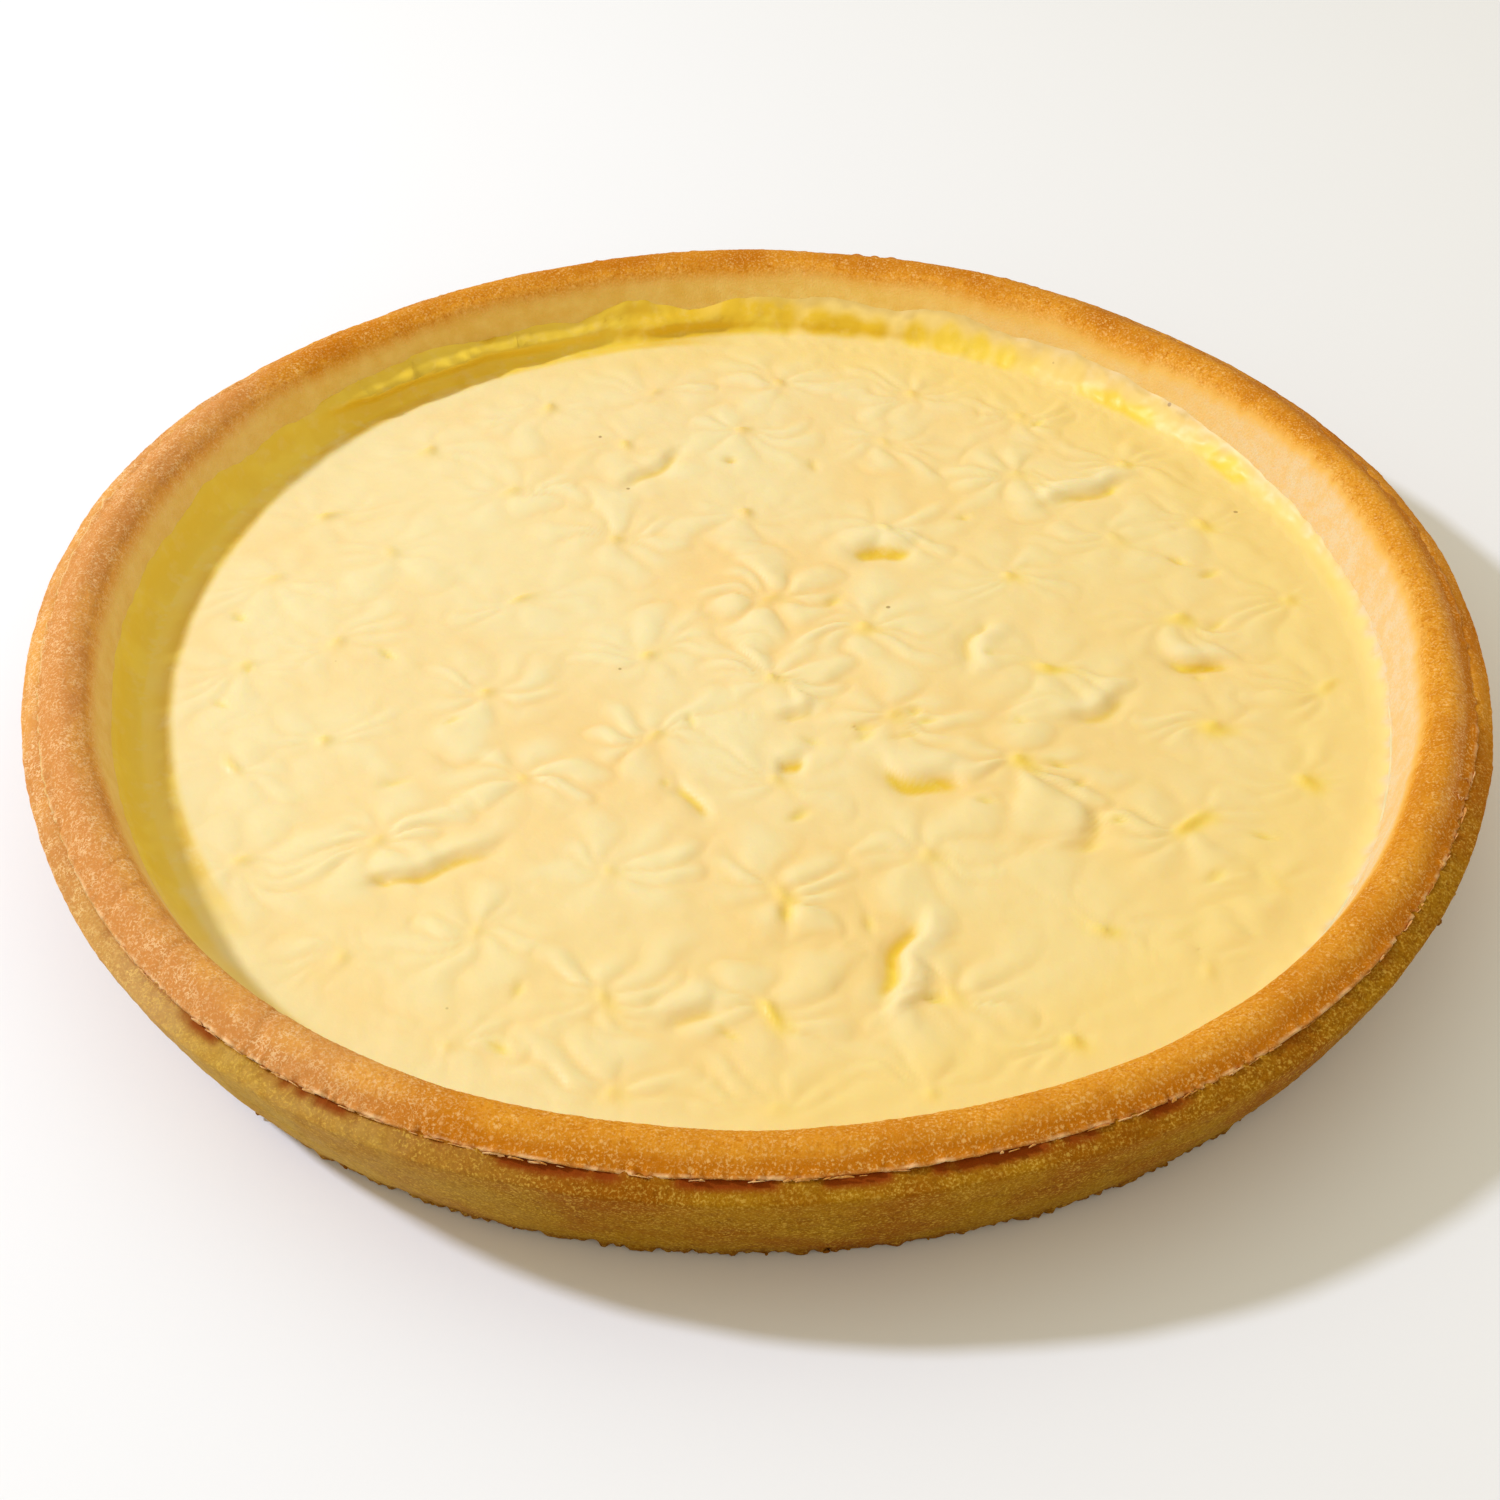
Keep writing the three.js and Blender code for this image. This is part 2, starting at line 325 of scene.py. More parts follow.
@dataclass(frozen=True)
class TartShape:
    """Sizes that the pieces share, in millimetres, the same as in the solids."""

    widest_radius: float = 140.0
    crest_z: float = 31.0
    rim_inner_radius: float = 126.4
    rim_inner_z: float = 26.4
    wall_foot_radius: float = 120.4
    wall_foot_z: float = 6.4
    floor_radius: float = 116.0
    floor_z: float = 4.0
    rim_wave_from_z: float = 15.0
    centring: Point = (-0.2005, -0.3970)
    outline_waves: tuple[Wave, ...] = (
        Wave(2, 0.65, -27.0),
        Wave(3, 0.3, 14.0),
        Wave(4, 0.65, -35.0),
        Wave(5, 0.6, 17.0),
    )
    rim_waves: tuple[Wave, ...] = (Wave(3, 0.2, 80.0), Wave(8, 0.2, 20.0), Wave(13, 0.15, 65.0))

    def inside_radius(self, z: Numbers | float) -> Numbers | float:
        """Radius of the inner wall of the case at a height."""
        share = (z - self.wall_foot_z) / (self.rim_inner_z - self.wall_foot_z)
        return Span(self.wall_foot_radius, self.rim_inner_radius).at(share)

    def uneven(self, radius: Numbers, angle: Numbers, z: Numbers) -> Numbers:
        """Moves points of the ideal round tart to where the hand-made one has them.

        Args:
            radius: distances from the axis, in millimetres.
            angle: angles round the axis, in radians.
            z: heights, in millimetres.

        Returns:
            The points, one a row, in metres.
        """
        out = radius + total(self.outline_waves, angle) * (radius / self.widest_radius) ** 3
        lift = total(self.rim_waves, angle) * Fade(self.rim_wave_from_z, self.crest_z).at(z)
        x = out * np.cos(angle) + self.centring[0]
        y = out * np.sin(angle) + self.centring[1]
        return np.column_stack([x, y, z + lift]) * MM


@dataclass
class Outline:
    """The half section of a turned piece: radius, height, zone and share of its zone for each row."""

    radius: list[float] = field(default_factory=list)
    z: list[float] = field(default_factory=list)
    zone: list[Zone] = field(default_factory=list)
    share: list[float] = field(default_factory=list)

    def follow(self, zone: Zone, curve: list[Point], rows: int) -> None:
        """Adds rows evenly along a curve, after the curve's first point.

        Args:
            zone: the stretch that these rows belong to.
            curve: points of radius and height.
            rows: how many rows to add.
        """
        at = np.array(curve, float)
        run = np.concatenate([[0.0], np.cumsum(np.hypot(*np.diff(at, axis=0).T))])
        for k in range(1, rows + 1):
            self.share.append(k / rows)
            self.radius.append(float(np.interp(run[-1] * k / rows, run, at[:, 0])))
            self.z.append(float(np.interp(run[-1] * k / rows, run, at[:, 1])))
            self.zone.append(zone)

    def draw(self, name: str) -> Piece:
        """Draws the section as a closed line, left open where it runs along the axis.

        Args:
            name: name of the new piece.

        Returns:
            The line, in metres.
        """
        rows = len(self.radius)
        bpy.ops.object.select_all(action="DESELECT")
        bpy.ops.mesh.primitive_circle_add(vertices=rows, radius=1.0, fill_type="NOTHING")
        piece = bpy.context.active_object
        name_piece(piece, name)
        set_corners(piece, np.column_stack([self.radius, np.zeros(rows), self.z]) * MM)
        on_axis = {i for i in range(rows) if self.radius[i] == 0.0}
        for vertex in piece.data.vertices:
            vertex.select = vertex.index in on_axis
        for edge in piece.data.edges:
            edge.select = set(edge.vertices) <= on_axis
        if on_axis:
            bpy.ops.object.mode_set(mode="EDIT")
            bpy.ops.mesh.select_mode(type="EDGE")
            bpy.ops.mesh.delete(type="EDGE_FACE")
            bpy.ops.mesh.select_mode(type="VERT")
            bpy.ops.object.mode_set(mode="OBJECT")
        return piece


@dataclass
class TurnedPiece:
    """A mesh turned from an outline, with the row's zone and the angle of each corner."""

    piece: Piece
    radius: Numbers
    z: Numbers
    angle: Numbers
    zone: Numbers
    share: Numbers

    def within(self, *zones: Zone) -> Numbers:
        """True at each corner that belongs to one of the zones."""
        return np.isin(self.zone, [zone.value for zone in zones])

    def fade(self, zone: Zone, fade: Fade) -> Numbers:
        """Eases along a zone by its share, and is 0 in the other zones."""
        return np.where(self.within(zone), fade.at(self.share), 0.0)


def turn_outline(name: str, outline: Outline, steps: int) -> TurnedPiece:
    """Turns an outline once round the axis into a closed mesh.

    Args:
        name: name of the new piece.
        outline: the half section, in millimetres.
        steps: facets in one turn.

    Returns:
        The new piece with the outline's row and the angle of each corner.
    """
    piece = outline.draw(name)
    screw = piece.modifiers.new("turn", "SCREW")
    screw.axis = "Z"
    screw.angle = TURN
    screw.steps = steps
    screw.render_steps = steps
    screw.use_merge_vertices = True
    screw.merge_threshold = WELD
    bpy.ops.object.modifier_apply(modifier=screw.name)
    bpy.ops.object.mode_set(mode="EDIT")
    bpy.ops.mesh.select_all(action="SELECT")
    bpy.ops.mesh.remove_doubles(threshold=WELD)
    bpy.ops.mesh.normals_make_consistent(inside=False)
    bpy.ops.object.mode_set(mode="OBJECT")
    bpy.ops.object.shade_smooth()
    at = corners(piece) / MM
    radius, z = np.hypot(at[:, 0], at[:, 1]), at[:, 2]
    off_row = (radius[:, None] - np.array(outline.radius)) ** 2 + (z[:, None] - np.array(outline.z)) ** 2
    row = np.argmin(off_row, axis=1)
    zone = np.array([kind.value for kind in outline.zone])
    angle = np.arctan2(at[:, 1], at[:, 0])
    return TurnedPiece(piece, radius, z, angle, zone[row], np.array(outline.share)[row])


class FinishBench:
    """Lays out the nodes of one finish."""

    # Sockets of a Mix node that mixes colours.
    MIX_SHARE, MIX_UNDER, MIX_OVER, MIX_RESULT = 0, 6, 7, 2

    def __init__(self, name: str) -> None:
        """Starts a material.

        Args:
            name: name of the material.
        """
        self.material = bpy.data.materials.new(name)
        self.material.use_nodes = True
        self.tree = self.material.node_tree
        self.shader = self.tree.nodes["Principled BSDF"]
        self.place = self.tree.nodes.new("ShaderNodeTexCoord").outputs["Object"]

    def feed(self, socket: Socket, value: object) -> None:
        """Links a socket to another one, or sets it to a plain value.

        Args:
            socket: the socket to feed.
            value: the other socket, or the value.
        """
        if isinstance(value, Socket):
            self.tree.links.new(value, socket)
        else:
            socket.default_value = value

    def noise(self, size: float, detail: float = 2.0, roughness: float = 0.5) -> Socket:
        """Cloudy noise.

        Args:
            size: size of its clouds, in millimetres.
            detail: how many finer layers it has.
            roughness: how strong those are.

        Returns:
            A socket with values round 0.5.
        """
        node = self.tree.nodes.new("ShaderNodeTexNoise")
        self.feed(node.inputs["Vector"], self.place)
        node.inputs["Scale"].default_value = 1.0 / (size * MM)
        node.inputs["Detail"].default_value = detail
        node.inputs["Roughness"].default_value = roughness
        return node.outputs["Fac"]

    def dots(self, size: float) -> Socket:
        """Scattered dots.

        Args:
            size: how far they are apart, in millimetres.

        Returns:
            A socket with the distance from the nearest dot, as a share of the size.
        """
        node = self.tree.nodes.new("ShaderNodeTexVoronoi")
        self.feed(node.inputs["Vector"], self.place)
        node.inputs["Scale"].default_value = 1.0 / (size * MM)
        return node.outputs["Distance"]

    def mark(self, name: str) -> Socket:
        """A number that the mesh keeps for each corner.

        Args:
            name: name of the mark; a piece without it has 0.

        Returns:
            A socket with the number.
        """
        node = self.tree.nodes.new("ShaderNodeAttribute")
        node.attribute_name = name
        return node.outputs["Fac"]

    def sum(self, operation: Sum, first: object, *others: object) -> Socket:
        """Works out a sum from left to right, kept from 0 to 1 at each step.

        Args:
            operation: what is done with each next number.
            first: the number to start with.
            others: the numbers that follow.

        Returns:
            A socket with the result.
        """
        result = first
        for other in others:
            node = self.tree.nodes.new("ShaderNodeMath")
            node.operation = operation.value
            node.use_clamp = True
            self.feed(node.inputs[0], result)
            self.feed(node.inputs[1], other)
            result = node.outputs[0]
        return result

    def ease(self, value: object, start: float, end: float, most: float = 1.0) -> Socket:
        """Eases a number from 0 at start to most at end.

        Args:
            value: the socket to ease.
            start: where the result is still 0.
            end: where the result has reached its most.
            most: the highest result.

        Returns:
            A socket with the eased number.
        """
        node = self.tree.nodes.new("ShaderNodeMapRange")
        node.interpolation_type = "SMOOTHSTEP"
        self.feed(node.inputs["Value"], value)
        node.inputs["From Min"].default_value = start
        node.inputs["From Max"].default_value = end
        node.inputs["To Max"].default_value = most
        return node.outputs["Result"]

    def blend(self, share: object, under: object, over: object) -> Socket:
        """Lays one colour over another.

        Args:
            share: how much of the upper colour shows.
            under: the lower colour.
            over: the upper colour.

        Returns:
            A socket with the blended colour.
        """
        node = self.tree.nodes.new("ShaderNodeMix")
        node.data_type = "RGBA"
        self.feed(node.inputs[self.MIX_SHARE], share)
        self.feed(node.inputs[self.MIX_UNDER], under)
        self.feed(node.inputs[self.MIX_OVER], over)
        return node.outputs[self.MIX_RESULT]

    def ramp(self, value: object, stops: tuple[tuple[float, Colour], ...]) -> Socket:
        """Turns a number into a colour.

        Args:
            value: the socket with the number.
            stops: pairs of a number and its colour, in rising order.

        Returns:
            A socket with the colour.
        """
        node = self.tree.nodes.new("ShaderNodeValToRGB")
        self.feed(node.inputs[0], value)
        elements = node.color_ramp.elements
        while len(elements) < len(stops):
            elements.new(0.5)
        for element, (position, colour) in zip(elements, stops):
            element.position = position
            element.color = colour
        return node.outputs["Color"]

    def bump(self, height: object, depth: float, under: object = None) -> Socket:
        """Fine relief that is too small for the mesh.

        Args:
            height: the socket with heights from 0 to 1.
            depth: depth of the relief, in millimetres.
            under: normal of a coarser relief below it.

        Returns:
            A socket with the normal.
        """
        node = self.tree.nodes.new("ShaderNodeBump")
        node.inputs["Distance"].default_value = depth * MM
        self.feed(node.inputs["Height"], height)
        if under is not None:
            self.feed(node.inputs["Normal"], under)
        return node.outputs["Normal"]

    def finish(self, colour: object, normal: object, **values: object) -> bpy.types.Material:
        """Feeds the shader.

        Args:
            colour: socket with the base colour.
            normal: socket with the normal.
            values: the shader's other inputs, with _ for a space.

        Returns:
            The finished material.
        """
        self.feed(self.shader.inputs["Base Color"], colour)
        self.feed(self.shader.inputs["Normal"], normal)
        for name, value in values.items():
            self.feed(self.shader.inputs[name.replace("_", " ")], value)
        return self.material


@dataclass(frozen=True)
class CrustFinish:
    """Baked dough: pale inside, brown where it faced the heat, with flour on it. The dark olive brown of the
    wall and the darkening in hollows and at the foot are painted shade, the olive stain on the lining is
    partly painted shade, and the pale lip is a painted highlight.
    """

    name: str = "crust_baked"
    pale: Colour = (0.77, 0.60, 0.35, 1.0)
    pale_warm: Colour = (0.79, 0.535, 0.23, 1.0)
    golden: Colour = (0.80, 0.455, 0.10, 1.0)
    brown: Colour = (0.72, 0.305, 0.022, 1.0)
    deep: Colour = (0.52, 0.165, 0.004, 1.0)
    flour: Colour = (0.90, 0.54, 0.17, 1.0)
    thick_flour: Colour = (0.88, 0.63, 0.35, 1.0)
    # Stain colours: a real stain low on the left of the case; on the lining behind and on the left, partly
    # custard stain and partly painted shade.
    stain: Colour = (0.87, 0.63, 0.19, 1.0)
    dull_stain: Colour = (0.80, 0.52, 0.11, 1.0)
    # Wall colours, darkened to stand for the shade on the wall below the rim: painted shade.
    wall: Colour = (0.32, 0.15, 0.003, 1.0)
    shaded_wall_brown: Colour = (0.27, 0.085, 0.001, 1.0)
    wall_shade_dark: Colour = (0.16, 0.047, 0.001, 1.0)
    wall_flour: Colour = (0.68, 0.42, 0.06, 1.0)
    torn: Colour = (0.25, 0.046, 0.003, 1.0)
    # Pale lip: painted highlight where the thin torn edges of the lip and the flakes catch the light.
    lip: Colour = (0.92, 0.60, 0.30, 1.0)
    golden_at: float = 0.42
    brown_at: float = 0.8
    deep_at: float = 1.0
    speckles: Cloud = (0.48, 2.0, 0.65)
    speckle_depth: float = 0.14
    speckle_bake: float = 0.35
    # Painted shade: darker where the grain and the bump are low, in the hollows.
    speckle_hollow_shade: Ease = (0.5, 0.3, 0.5)
    grain_hollow_shade: Ease = (0.55, 0.15, 0.45)
    hollow_shade_bake: Ease = (0.3, 0.75)
    patches: Cloud = (17.0, 3.0, 0.55)
    patch_bake: Ease = (0.35, 0.75, 0.16)
    patch_wall: Ease = (0.38, 0.66)
    mottle: Cloud = (3.4, 3.0, 0.65)
    mottle_share: float = 0.6
    mottle_speckle: float = 0.4
    mottle_ease: Ease = (0.4, 0.6)
    blotches: Cloud = (5.0, 3.0, 0.6)
    blotch_ease: Ease = (0.3, 0.7)
    flour_bake: Ease = (0.2, 0.6)
    flour_film: Ease = (0.25, 0.7, 0.14)
    flour_specks: Ease = (0.50, 0.68, 0.6)
    flour_dot_size: float = 2.3
    flour_dot_rag: float = 0.3
    flour_dots: Ease = (0.34, 0.24, 0.6)
    curl_flow: Cloud = (0.95, 1.0, 0.6)
    curl_rise: Ease = (0.445, 0.495)
    curl_fall: Ease = (0.555, 0.505)
    curl_breaks: Cloud = (2.4, 1.0, 0.5)
    curl_break_ease: Ease = (0.45, 0.6)
    flour_clouds: Cloud = (6.5, 2.0, 0.6)
    flour_cloud_ease: Ease = (0.3, 0.62, 0.5)
    flour_least: float = 0.5
    roughness: float = 0.7
    shine: float = 0.03
    glow: float = 0.1
    glow_reach: Triple = (1.0, 0.45, 0.15)
    glow_depth: float = 1.2

    def make(self) -> bpy.types.Material:
        """Lays out the material.

        Returns:
            The finished material.
        """
        bench = FinishBench(self.name)
        bake, wall, floury = bench.mark("bake"), bench.mark("wall"), bench.mark("floury")
        speckle, patches = bench.noise(*self.speckles), bench.noise(*self.patches)
        grainy = bench.sum(Sum.TIMES, bench.sum(Sum.LESS, speckle, 0.5), self.speckle_bake)
        baked = bench.sum(Sum.PLUS, bake, grainy, bench.ease(patches, *self.patch_bake))
        stops = ((self.golden_at, self.golden), (self.brown_at, self.brown), (self.deep_at, self.deep))
        browned = bench.sum(Sum.OVER, baked, self.golden_at)
        tone = bench.blend(browned, self.raw(bench, speckle), bench.ramp(baked, stops))
        # The darkened wall colours: painted shade.
        side = bench.blend(bench.ease(patches, *self.patch_wall), self.wall, self.shaded_wall_brown)
        tone = bench.blend(wall, tone, side)
        # Painted shade in the hollows of the grain and the bump: deep brown on the rim, dark olive on the
        # wall.
        hollow_shade = bench.ease(bench.mark("grain"), *self.grain_hollow_shade)
        hollow_shade = bench.sum(Sum.PLUS, bench.ease(speckle, *self.speckle_hollow_shade), hollow_shade)
        dark = bench.blend(wall, self.deep, self.wall_shade_dark)
        tone = bench.blend(bench.sum(Sum.TIMES, hollow_shade, bench.ease(bake, *self.hollow_shade_bake)), tone, dark)
        # Painted shade at the foot, where no light comes from below.
        tone = bench.blend(bench.mark("foot"), tone, self.wall_shade_dark)
        blotch = bench.ease(bench.noise(*self.blotches), *self.blotch_ease)
        # Stain: real on the case, partly painted shade on the lining.
        tone = bench.blend(bench.mark("stained"), tone, bench.blend(blotch, self.stain, self.dull_stain))
        tone = bench.blend(bench.ease(floury, *self.flour_film), tone, self.thick_flour)
        dust = bench.blend(wall, bench.blend(floury, self.flour, self.thick_flour), self.wall_flour)
        dusted = self.dusted(bench, speckle, floury)
        dusted = bench.sum(Sum.TIMES, dusted, bench.ease(bake, *self.flour_bake))
        tone = bench.blend(dusted, tone, dust)
        tone = bench.blend(bench.mark("torn"), tone, self.torn)
        # Painted highlight on the tip of the lip and on the flakes.
        tone = bench.blend(bench.mark("lip"), tone, self.lip)
        return bench.finish(
            tone,
            bench.bump(speckle, self.speckle_depth),
            Roughness=self.roughness,
            Specular_IOR_Level=self.shine,
            Subsurface_Weight=self.glow,
            Subsurface_Radius=self.glow_reach,
            Subsurface_Scale=self.glow_depth * MM,
        )

    def raw(self, bench: FinishBench, speckle: Socket) -> Socket:
        """Mottled colour of dough that hardly baked.

        Args:
            bench: the nodes of this finish.
            speckle: the finest grain.

        Returns:
            A socket with the colour.
        """
        clouds = bench.sum(Sum.TIMES, bench.noise(*self.mottle), self.mottle_share)
        mottle = bench.sum(Sum.PLUS, clouds, bench.sum(Sum.TIMES, speckle, self.mottle_speckle))
        return bench.blend(bench.ease(mottle, *self.mottle_ease), self.pale, self.pale_warm)

    def dusted(self, bench: FinishBench, speckle: Socket, floury: Socket) -> Socket:
        """Flour: specks everywhere, some larger dots, and short curly lines where the dough is floury.

        Args:
            bench: the nodes of this finish.
            speckle: the finest grain.
            floury: how floury the dough is.

        Returns:
            A socket with the share of flour, 0 to 1.
        """
        specks = bench.ease(speckle, *self.flour_specks)
        ragged = bench.sum(Sum.TIMES, speckle, self.flour_dot_rag)
        ragged = bench.sum(Sum.PLUS, bench.dots(self.flour_dot_size), ragged)
        dots = bench.ease(ragged, *self.flour_dots)
        flow = bench.noise(*self.curl_flow)
        broken = bench.ease(bench.noise(*self.curl_breaks), *self.curl_break_ease)
        rise, fall = bench.ease(flow, *self.curl_rise), bench.ease(flow, *self.curl_fall)
        curls = bench.sum(Sum.TIMES, rise, fall, broken, floury)
        clouds = bench.ease(bench.noise(*self.flour_clouds), *self.flour_cloud_ease)
        clouds = bench.sum(Sum.PLUS, clouds, self.flour_least)
        return bench.sum(Sum.TIMES, bench.sum(Sum.MOST, specks, dots, curls), clouds)


@dataclass(frozen=True)
class CustardFinish:
    """Baked custard: pale yellow, a little translucent, with a moist satin skin. The gold in its pits and in
    the shade, the peach in its grooves and the deeper yellow to the right and in front are painted shade and
    painted light falloff.
    """

    name: str = "custard_baked"
    pale: Colour = (0.845, 0.72, 0.375, 1.0)
    # Peach: random patches, and painted shade in the grooves between the petals and at their tips.
    peach: Colour = (0.86, 0.605, 0.235, 1.0)
    # Deeper yellow: painted light falloff towards the right and the front.
    falloff_yellow: Colour = (0.865, 0.65, 0.215, 1.0)
    # Gold and amber: painted shade in pits, tears, beside the peaks and on the shaded film and flat; real
    # gold at the peaks and in the film's stains.
    golden: Colour = (0.87, 0.625, 0.045, 1.0)
    amber: Colour = (0.76, 0.475, 0.002, 1.0)
    butter: Colour = (0.87, 0.64, 0.19, 1.0)
    dough: Colour = (0.77, 0.60, 0.35, 1.0)
    dough_warm: Colour = (0.79, 0.545, 0.23, 1.0)
    # Painted shadow line near the top edge of the film, behind towards the right.
    crease: Colour = (0.62, 0.42, 0.11, 1.0)
    speck: Colour = (0.35, 0.20, 0.05, 1.0)
    patches: Cloud = (30.0, 3.0, 0.55)
    patch_ease: Ease = (0.42, 0.72, 0.3)
    blots: Cloud = (11.0, 2.0, 0.55)
    blot_ease: Ease = (0.34, 0.52)
    gold_breaks: Cloud = (3.6, 3.0, 0.6)
    gold_break: float = 1.7
    gold_least: float = 0.2
    mottle: Cloud = (3.4, 3.0, 0.65)
    mottle_ease: Ease = (0.4, 0.6)
    speck_size: float = 17.0
    speck_ease: Ease = (0.035, 0.02, 0.8)
    skin: Cloud = (1.1, 3.0, 0.55)
    skin_depth: float = 0.03
    dimples: Cloud = (4.2, 2.0, 0.5)
    dimple_depth: float = 0.10
    roughness_least: float = 0.32
    roughness_spread: float = 0.25
    shine: float = 0.4
    glow: float = 0.25
    glow_reach: Triple = (1.0, 0.55, 0.12)
    glow_depth: float = 1.5

    def make(self) -> bpy.types.Material:
        """Lays out the material.

        Returns:
            The finished material.
        """
        bench = FinishBench(self.name)
        clouds = bench.ease(bench.noise(*self.patches), *self.patch_ease)
        # Painted shade in the grooves, with random peach patches; then the painted light falloff.
        tone = bench.blend(bench.sum(Sum.PLUS, bench.mark("groove_shade"), clouds), self.pale, self.peach)
        tone = bench.blend(bench.mark("falloff_yellow"), tone, self.falloff_yellow)
        tone = bench.blend(bench.mark("film"), tone, self.butter)
        blots = bench.ease(bench.noise(*self.blots), *self.blot_ease)
        gold = bench.blend(bench.sum(Sum.TIMES, blots, bench.mark("amber")), self.golden, self.amber)
        broken = bench.sum(Sum.TIMES, bench.noise(*self.gold_breaks), self.gold_break)
        broken = bench.sum(Sum.PLUS, broken, self.gold_least)
        # Gold: mostly painted shade, partly real gold at the peaks and in the film's stains.
        tone = bench.blend(bench.sum(Sum.TIMES, bench.mark("golden"), broken), tone, gold)
        mottle = bench.ease(bench.noise(*self.mottle), *self.mottle_ease)
        tone = bench.blend(bench.mark("thin"), tone, bench.blend(mottle, self.dough, self.dough_warm))
        # Painted shadow line near the film's top edge.
        tone = bench.blend(bench.mark("crease"), tone, self.crease)
        tone = bench.blend(bench.ease(bench.dots(self.speck_size), *self.speck_ease), tone, self.speck)
        dimples = bench.noise(*self.dimples)
        normal = bench.bump(dimples, self.dimple_depth)
        normal = bench.bump(bench.noise(*self.skin), self.skin_depth, normal)
        rough = bench.sum(Sum.TIMES, dimples, self.roughness_spread)
        return bench.finish(
            tone,
            normal,
            Roughness=bench.sum(Sum.PLUS, rough, self.roughness_least),
            Specular_IOR_Level=self.shine,
            Subsurface_Weight=bench.sum(Sum.TIMES, bench.mark("soft"), self.glow),
            Subsurface_Radius=self.glow_reach,
            Subsurface_Scale=self.glow_depth * MM,
        )


@dataclass(frozen=True)
class FloorFinish:
    """A plain pale table top."""

    name: str = "table_white"
    light: Colour = (0.86, 0.86, 0.86, 1.0)
    dark: Colour = (0.84, 0.84, 0.845, 1.0)
    cloud_size: float = 160.0
    grain_size: float = 0.8
    grain_depth: float = 0.01
    roughness: float = 0.8

    def make(self) -> bpy.types.Material:
        """Lays out the material.

        Returns:
            The finished material.
        """
        bench = FinishBench(self.name)
        tone = bench.blend(bench.noise(self.cloud_size), self.light, self.dark)
        grain = bench.bump(bench.noise(self.grain_size), self.grain_depth)
        return bench.finish(tone, grain, Roughness=self.roughness)


@dataclass(frozen=True)
class Seam:
    """The split between the wall and the rim: where it gapes and how its upper lip wanders."""

    front: Stretch = Stretch(-82.0, 48.0, 30.0)
    quiet_share: float = 0.08
    gape_mean: float = 0.6
    gape_noise: tuple[RingNoise, ...] = (RingNoise(12, 70, 21, 0.38), RingNoise(90, 260, 22, 0.07))
    narrow_right: Stretch = Stretch(-30.0, 26.0, 18.0, 0.62)
    narrow_left: Stretch = Stretch(-145.0, 32.0, 18.0, 0.465)
    lip_noise: tuple[RingNoise, ...] = (RingNoise(8, 40, 34, 0.6), RingNoise(60, 260, 35, 0.4))
    lip_shreds: RingNoise = RingNoise(240, 560, 36, 0.45)

    def lively(self, angle: Numbers) -> Numbers:
        """How much of the tearing each angle has: all of it in front, hardly any behind."""
        return np.maximum(self.quiet_share, self.front.at(angle))

    def gape(self, angle: Numbers) -> Numbers:
        """How far the seam is torn open.

        Args:
            angle: angles round the axis, in radians.

        Returns:
            How open it is at each angle, from 0 to 1.
        """
        torn = np.clip(self.gape_mean + total(self.gape_noise, angle), 0.0, 1.0)
        closing = np.maximum(self.narrow_right.at(angle), self.narrow_left.at(angle))
        return torn * self.lively(angle) * (1.0 - closing)

    def wander(self, angle: Numbers) -> Numbers:
        """How far the lip is off its even line at each angle, with a spread of about 1."""
        return total(self.lip_noise, angle) + self.lively(angle) * self.lip_shreds.at(angle)


@dataclass(frozen=True)
class CaseTones:
    """Where the outside of the case is browned, stained, floury and torn, with painted shade on the wall in
    front and at the foot.
    """

    bake: float = 0.85
    front: Stretch = Stretch(-82.0, 45.0, 35.0)
    brown_upper: Span = Span(0.1, 1.0)
    brown_right: Stretch = Stretch(20.0, 40.0, 20.0, 0.35)
    brown_fade: Fade = Fade(0.72, 1.0)
    foot_fade: Fade = Fade(0.16, 0.0)
    foot_shade: float = 0.75
    gape_fade: Fade = Fade(0.2, 0.6)
    torn_fade: Fade = Fade(0.65, 1.0)
    stain: Stretch = Stretch(235.0, 3.0, 23.0, 0.27)
    stain_by_grain: Span = Span(0.6, 1.4)
    stain_to_foot: Span = Span(1.0, 0.2)
    flour_least: float = 0.05
    flour_left: Stretch = Stretch(185.0, 35.0, 20.0, 0.75)

    def marks(self, turned: TurnedPiece, gape: Numbers, height: Numbers) -> dict[str, Numbers]:
        """Works out the marks of the case.

        Args:
            turned: the turned case.
            gape: how far the seam is torn open at each corner.
            height: height of the grain at each corner, 0 to 1.

        Returns:
            For each mark, one number for each corner.
        """
        angle, share, wall = turned.angle, turned.share, turned.within(Zone.WALL)
        by_seam = turned.within(Zone.SHOULDER, Zone.SEAM)
        shown = turned.within(Zone.WALL, Zone.SHOULDER, Zone.FOOT)
        # Painted shade: in front the upper wall keeps the darkened wall colour, on the sides it takes the
        # rim's brown.
        beside = 1.0 - self.front.at(angle)
        upper = self.brown_fade.at(share + self.brown_right.at(angle))
        upper = np.where(wall, upper, np.where(by_seam, 1.0, 0.0))
        below = turned.within(Zone.FOOT, Zone.UNDERSIDE)
        near_foot = np.where(below, 1.0, turned.fade(Zone.WALL, self.foot_fade))
        open_edge = np.where(turned.within(Zone.SEAM), 1.0, self.torn_fade.at(share))
        stain = self.stain.at(angle) * shown * self.stain_by_grain.at(height)
        return {
            "bake": np.full(len(height), self.bake),
            "wall": np.clip(1.0 - upper * self.brown_upper.at(beside), 0.0, 1.0),
            "stained": stain * self.stain_to_foot.at(near_foot),
            # Painted shade: darker towards the foot.
            "foot": self.foot_shade * near_foot,
            "floury": self.flour_least + self.flour_left.at(angle),
            "grain": height,
            "torn": np.where(by_seam, self.gape_fade.at(gape) * open_edge, 0.0),
        }


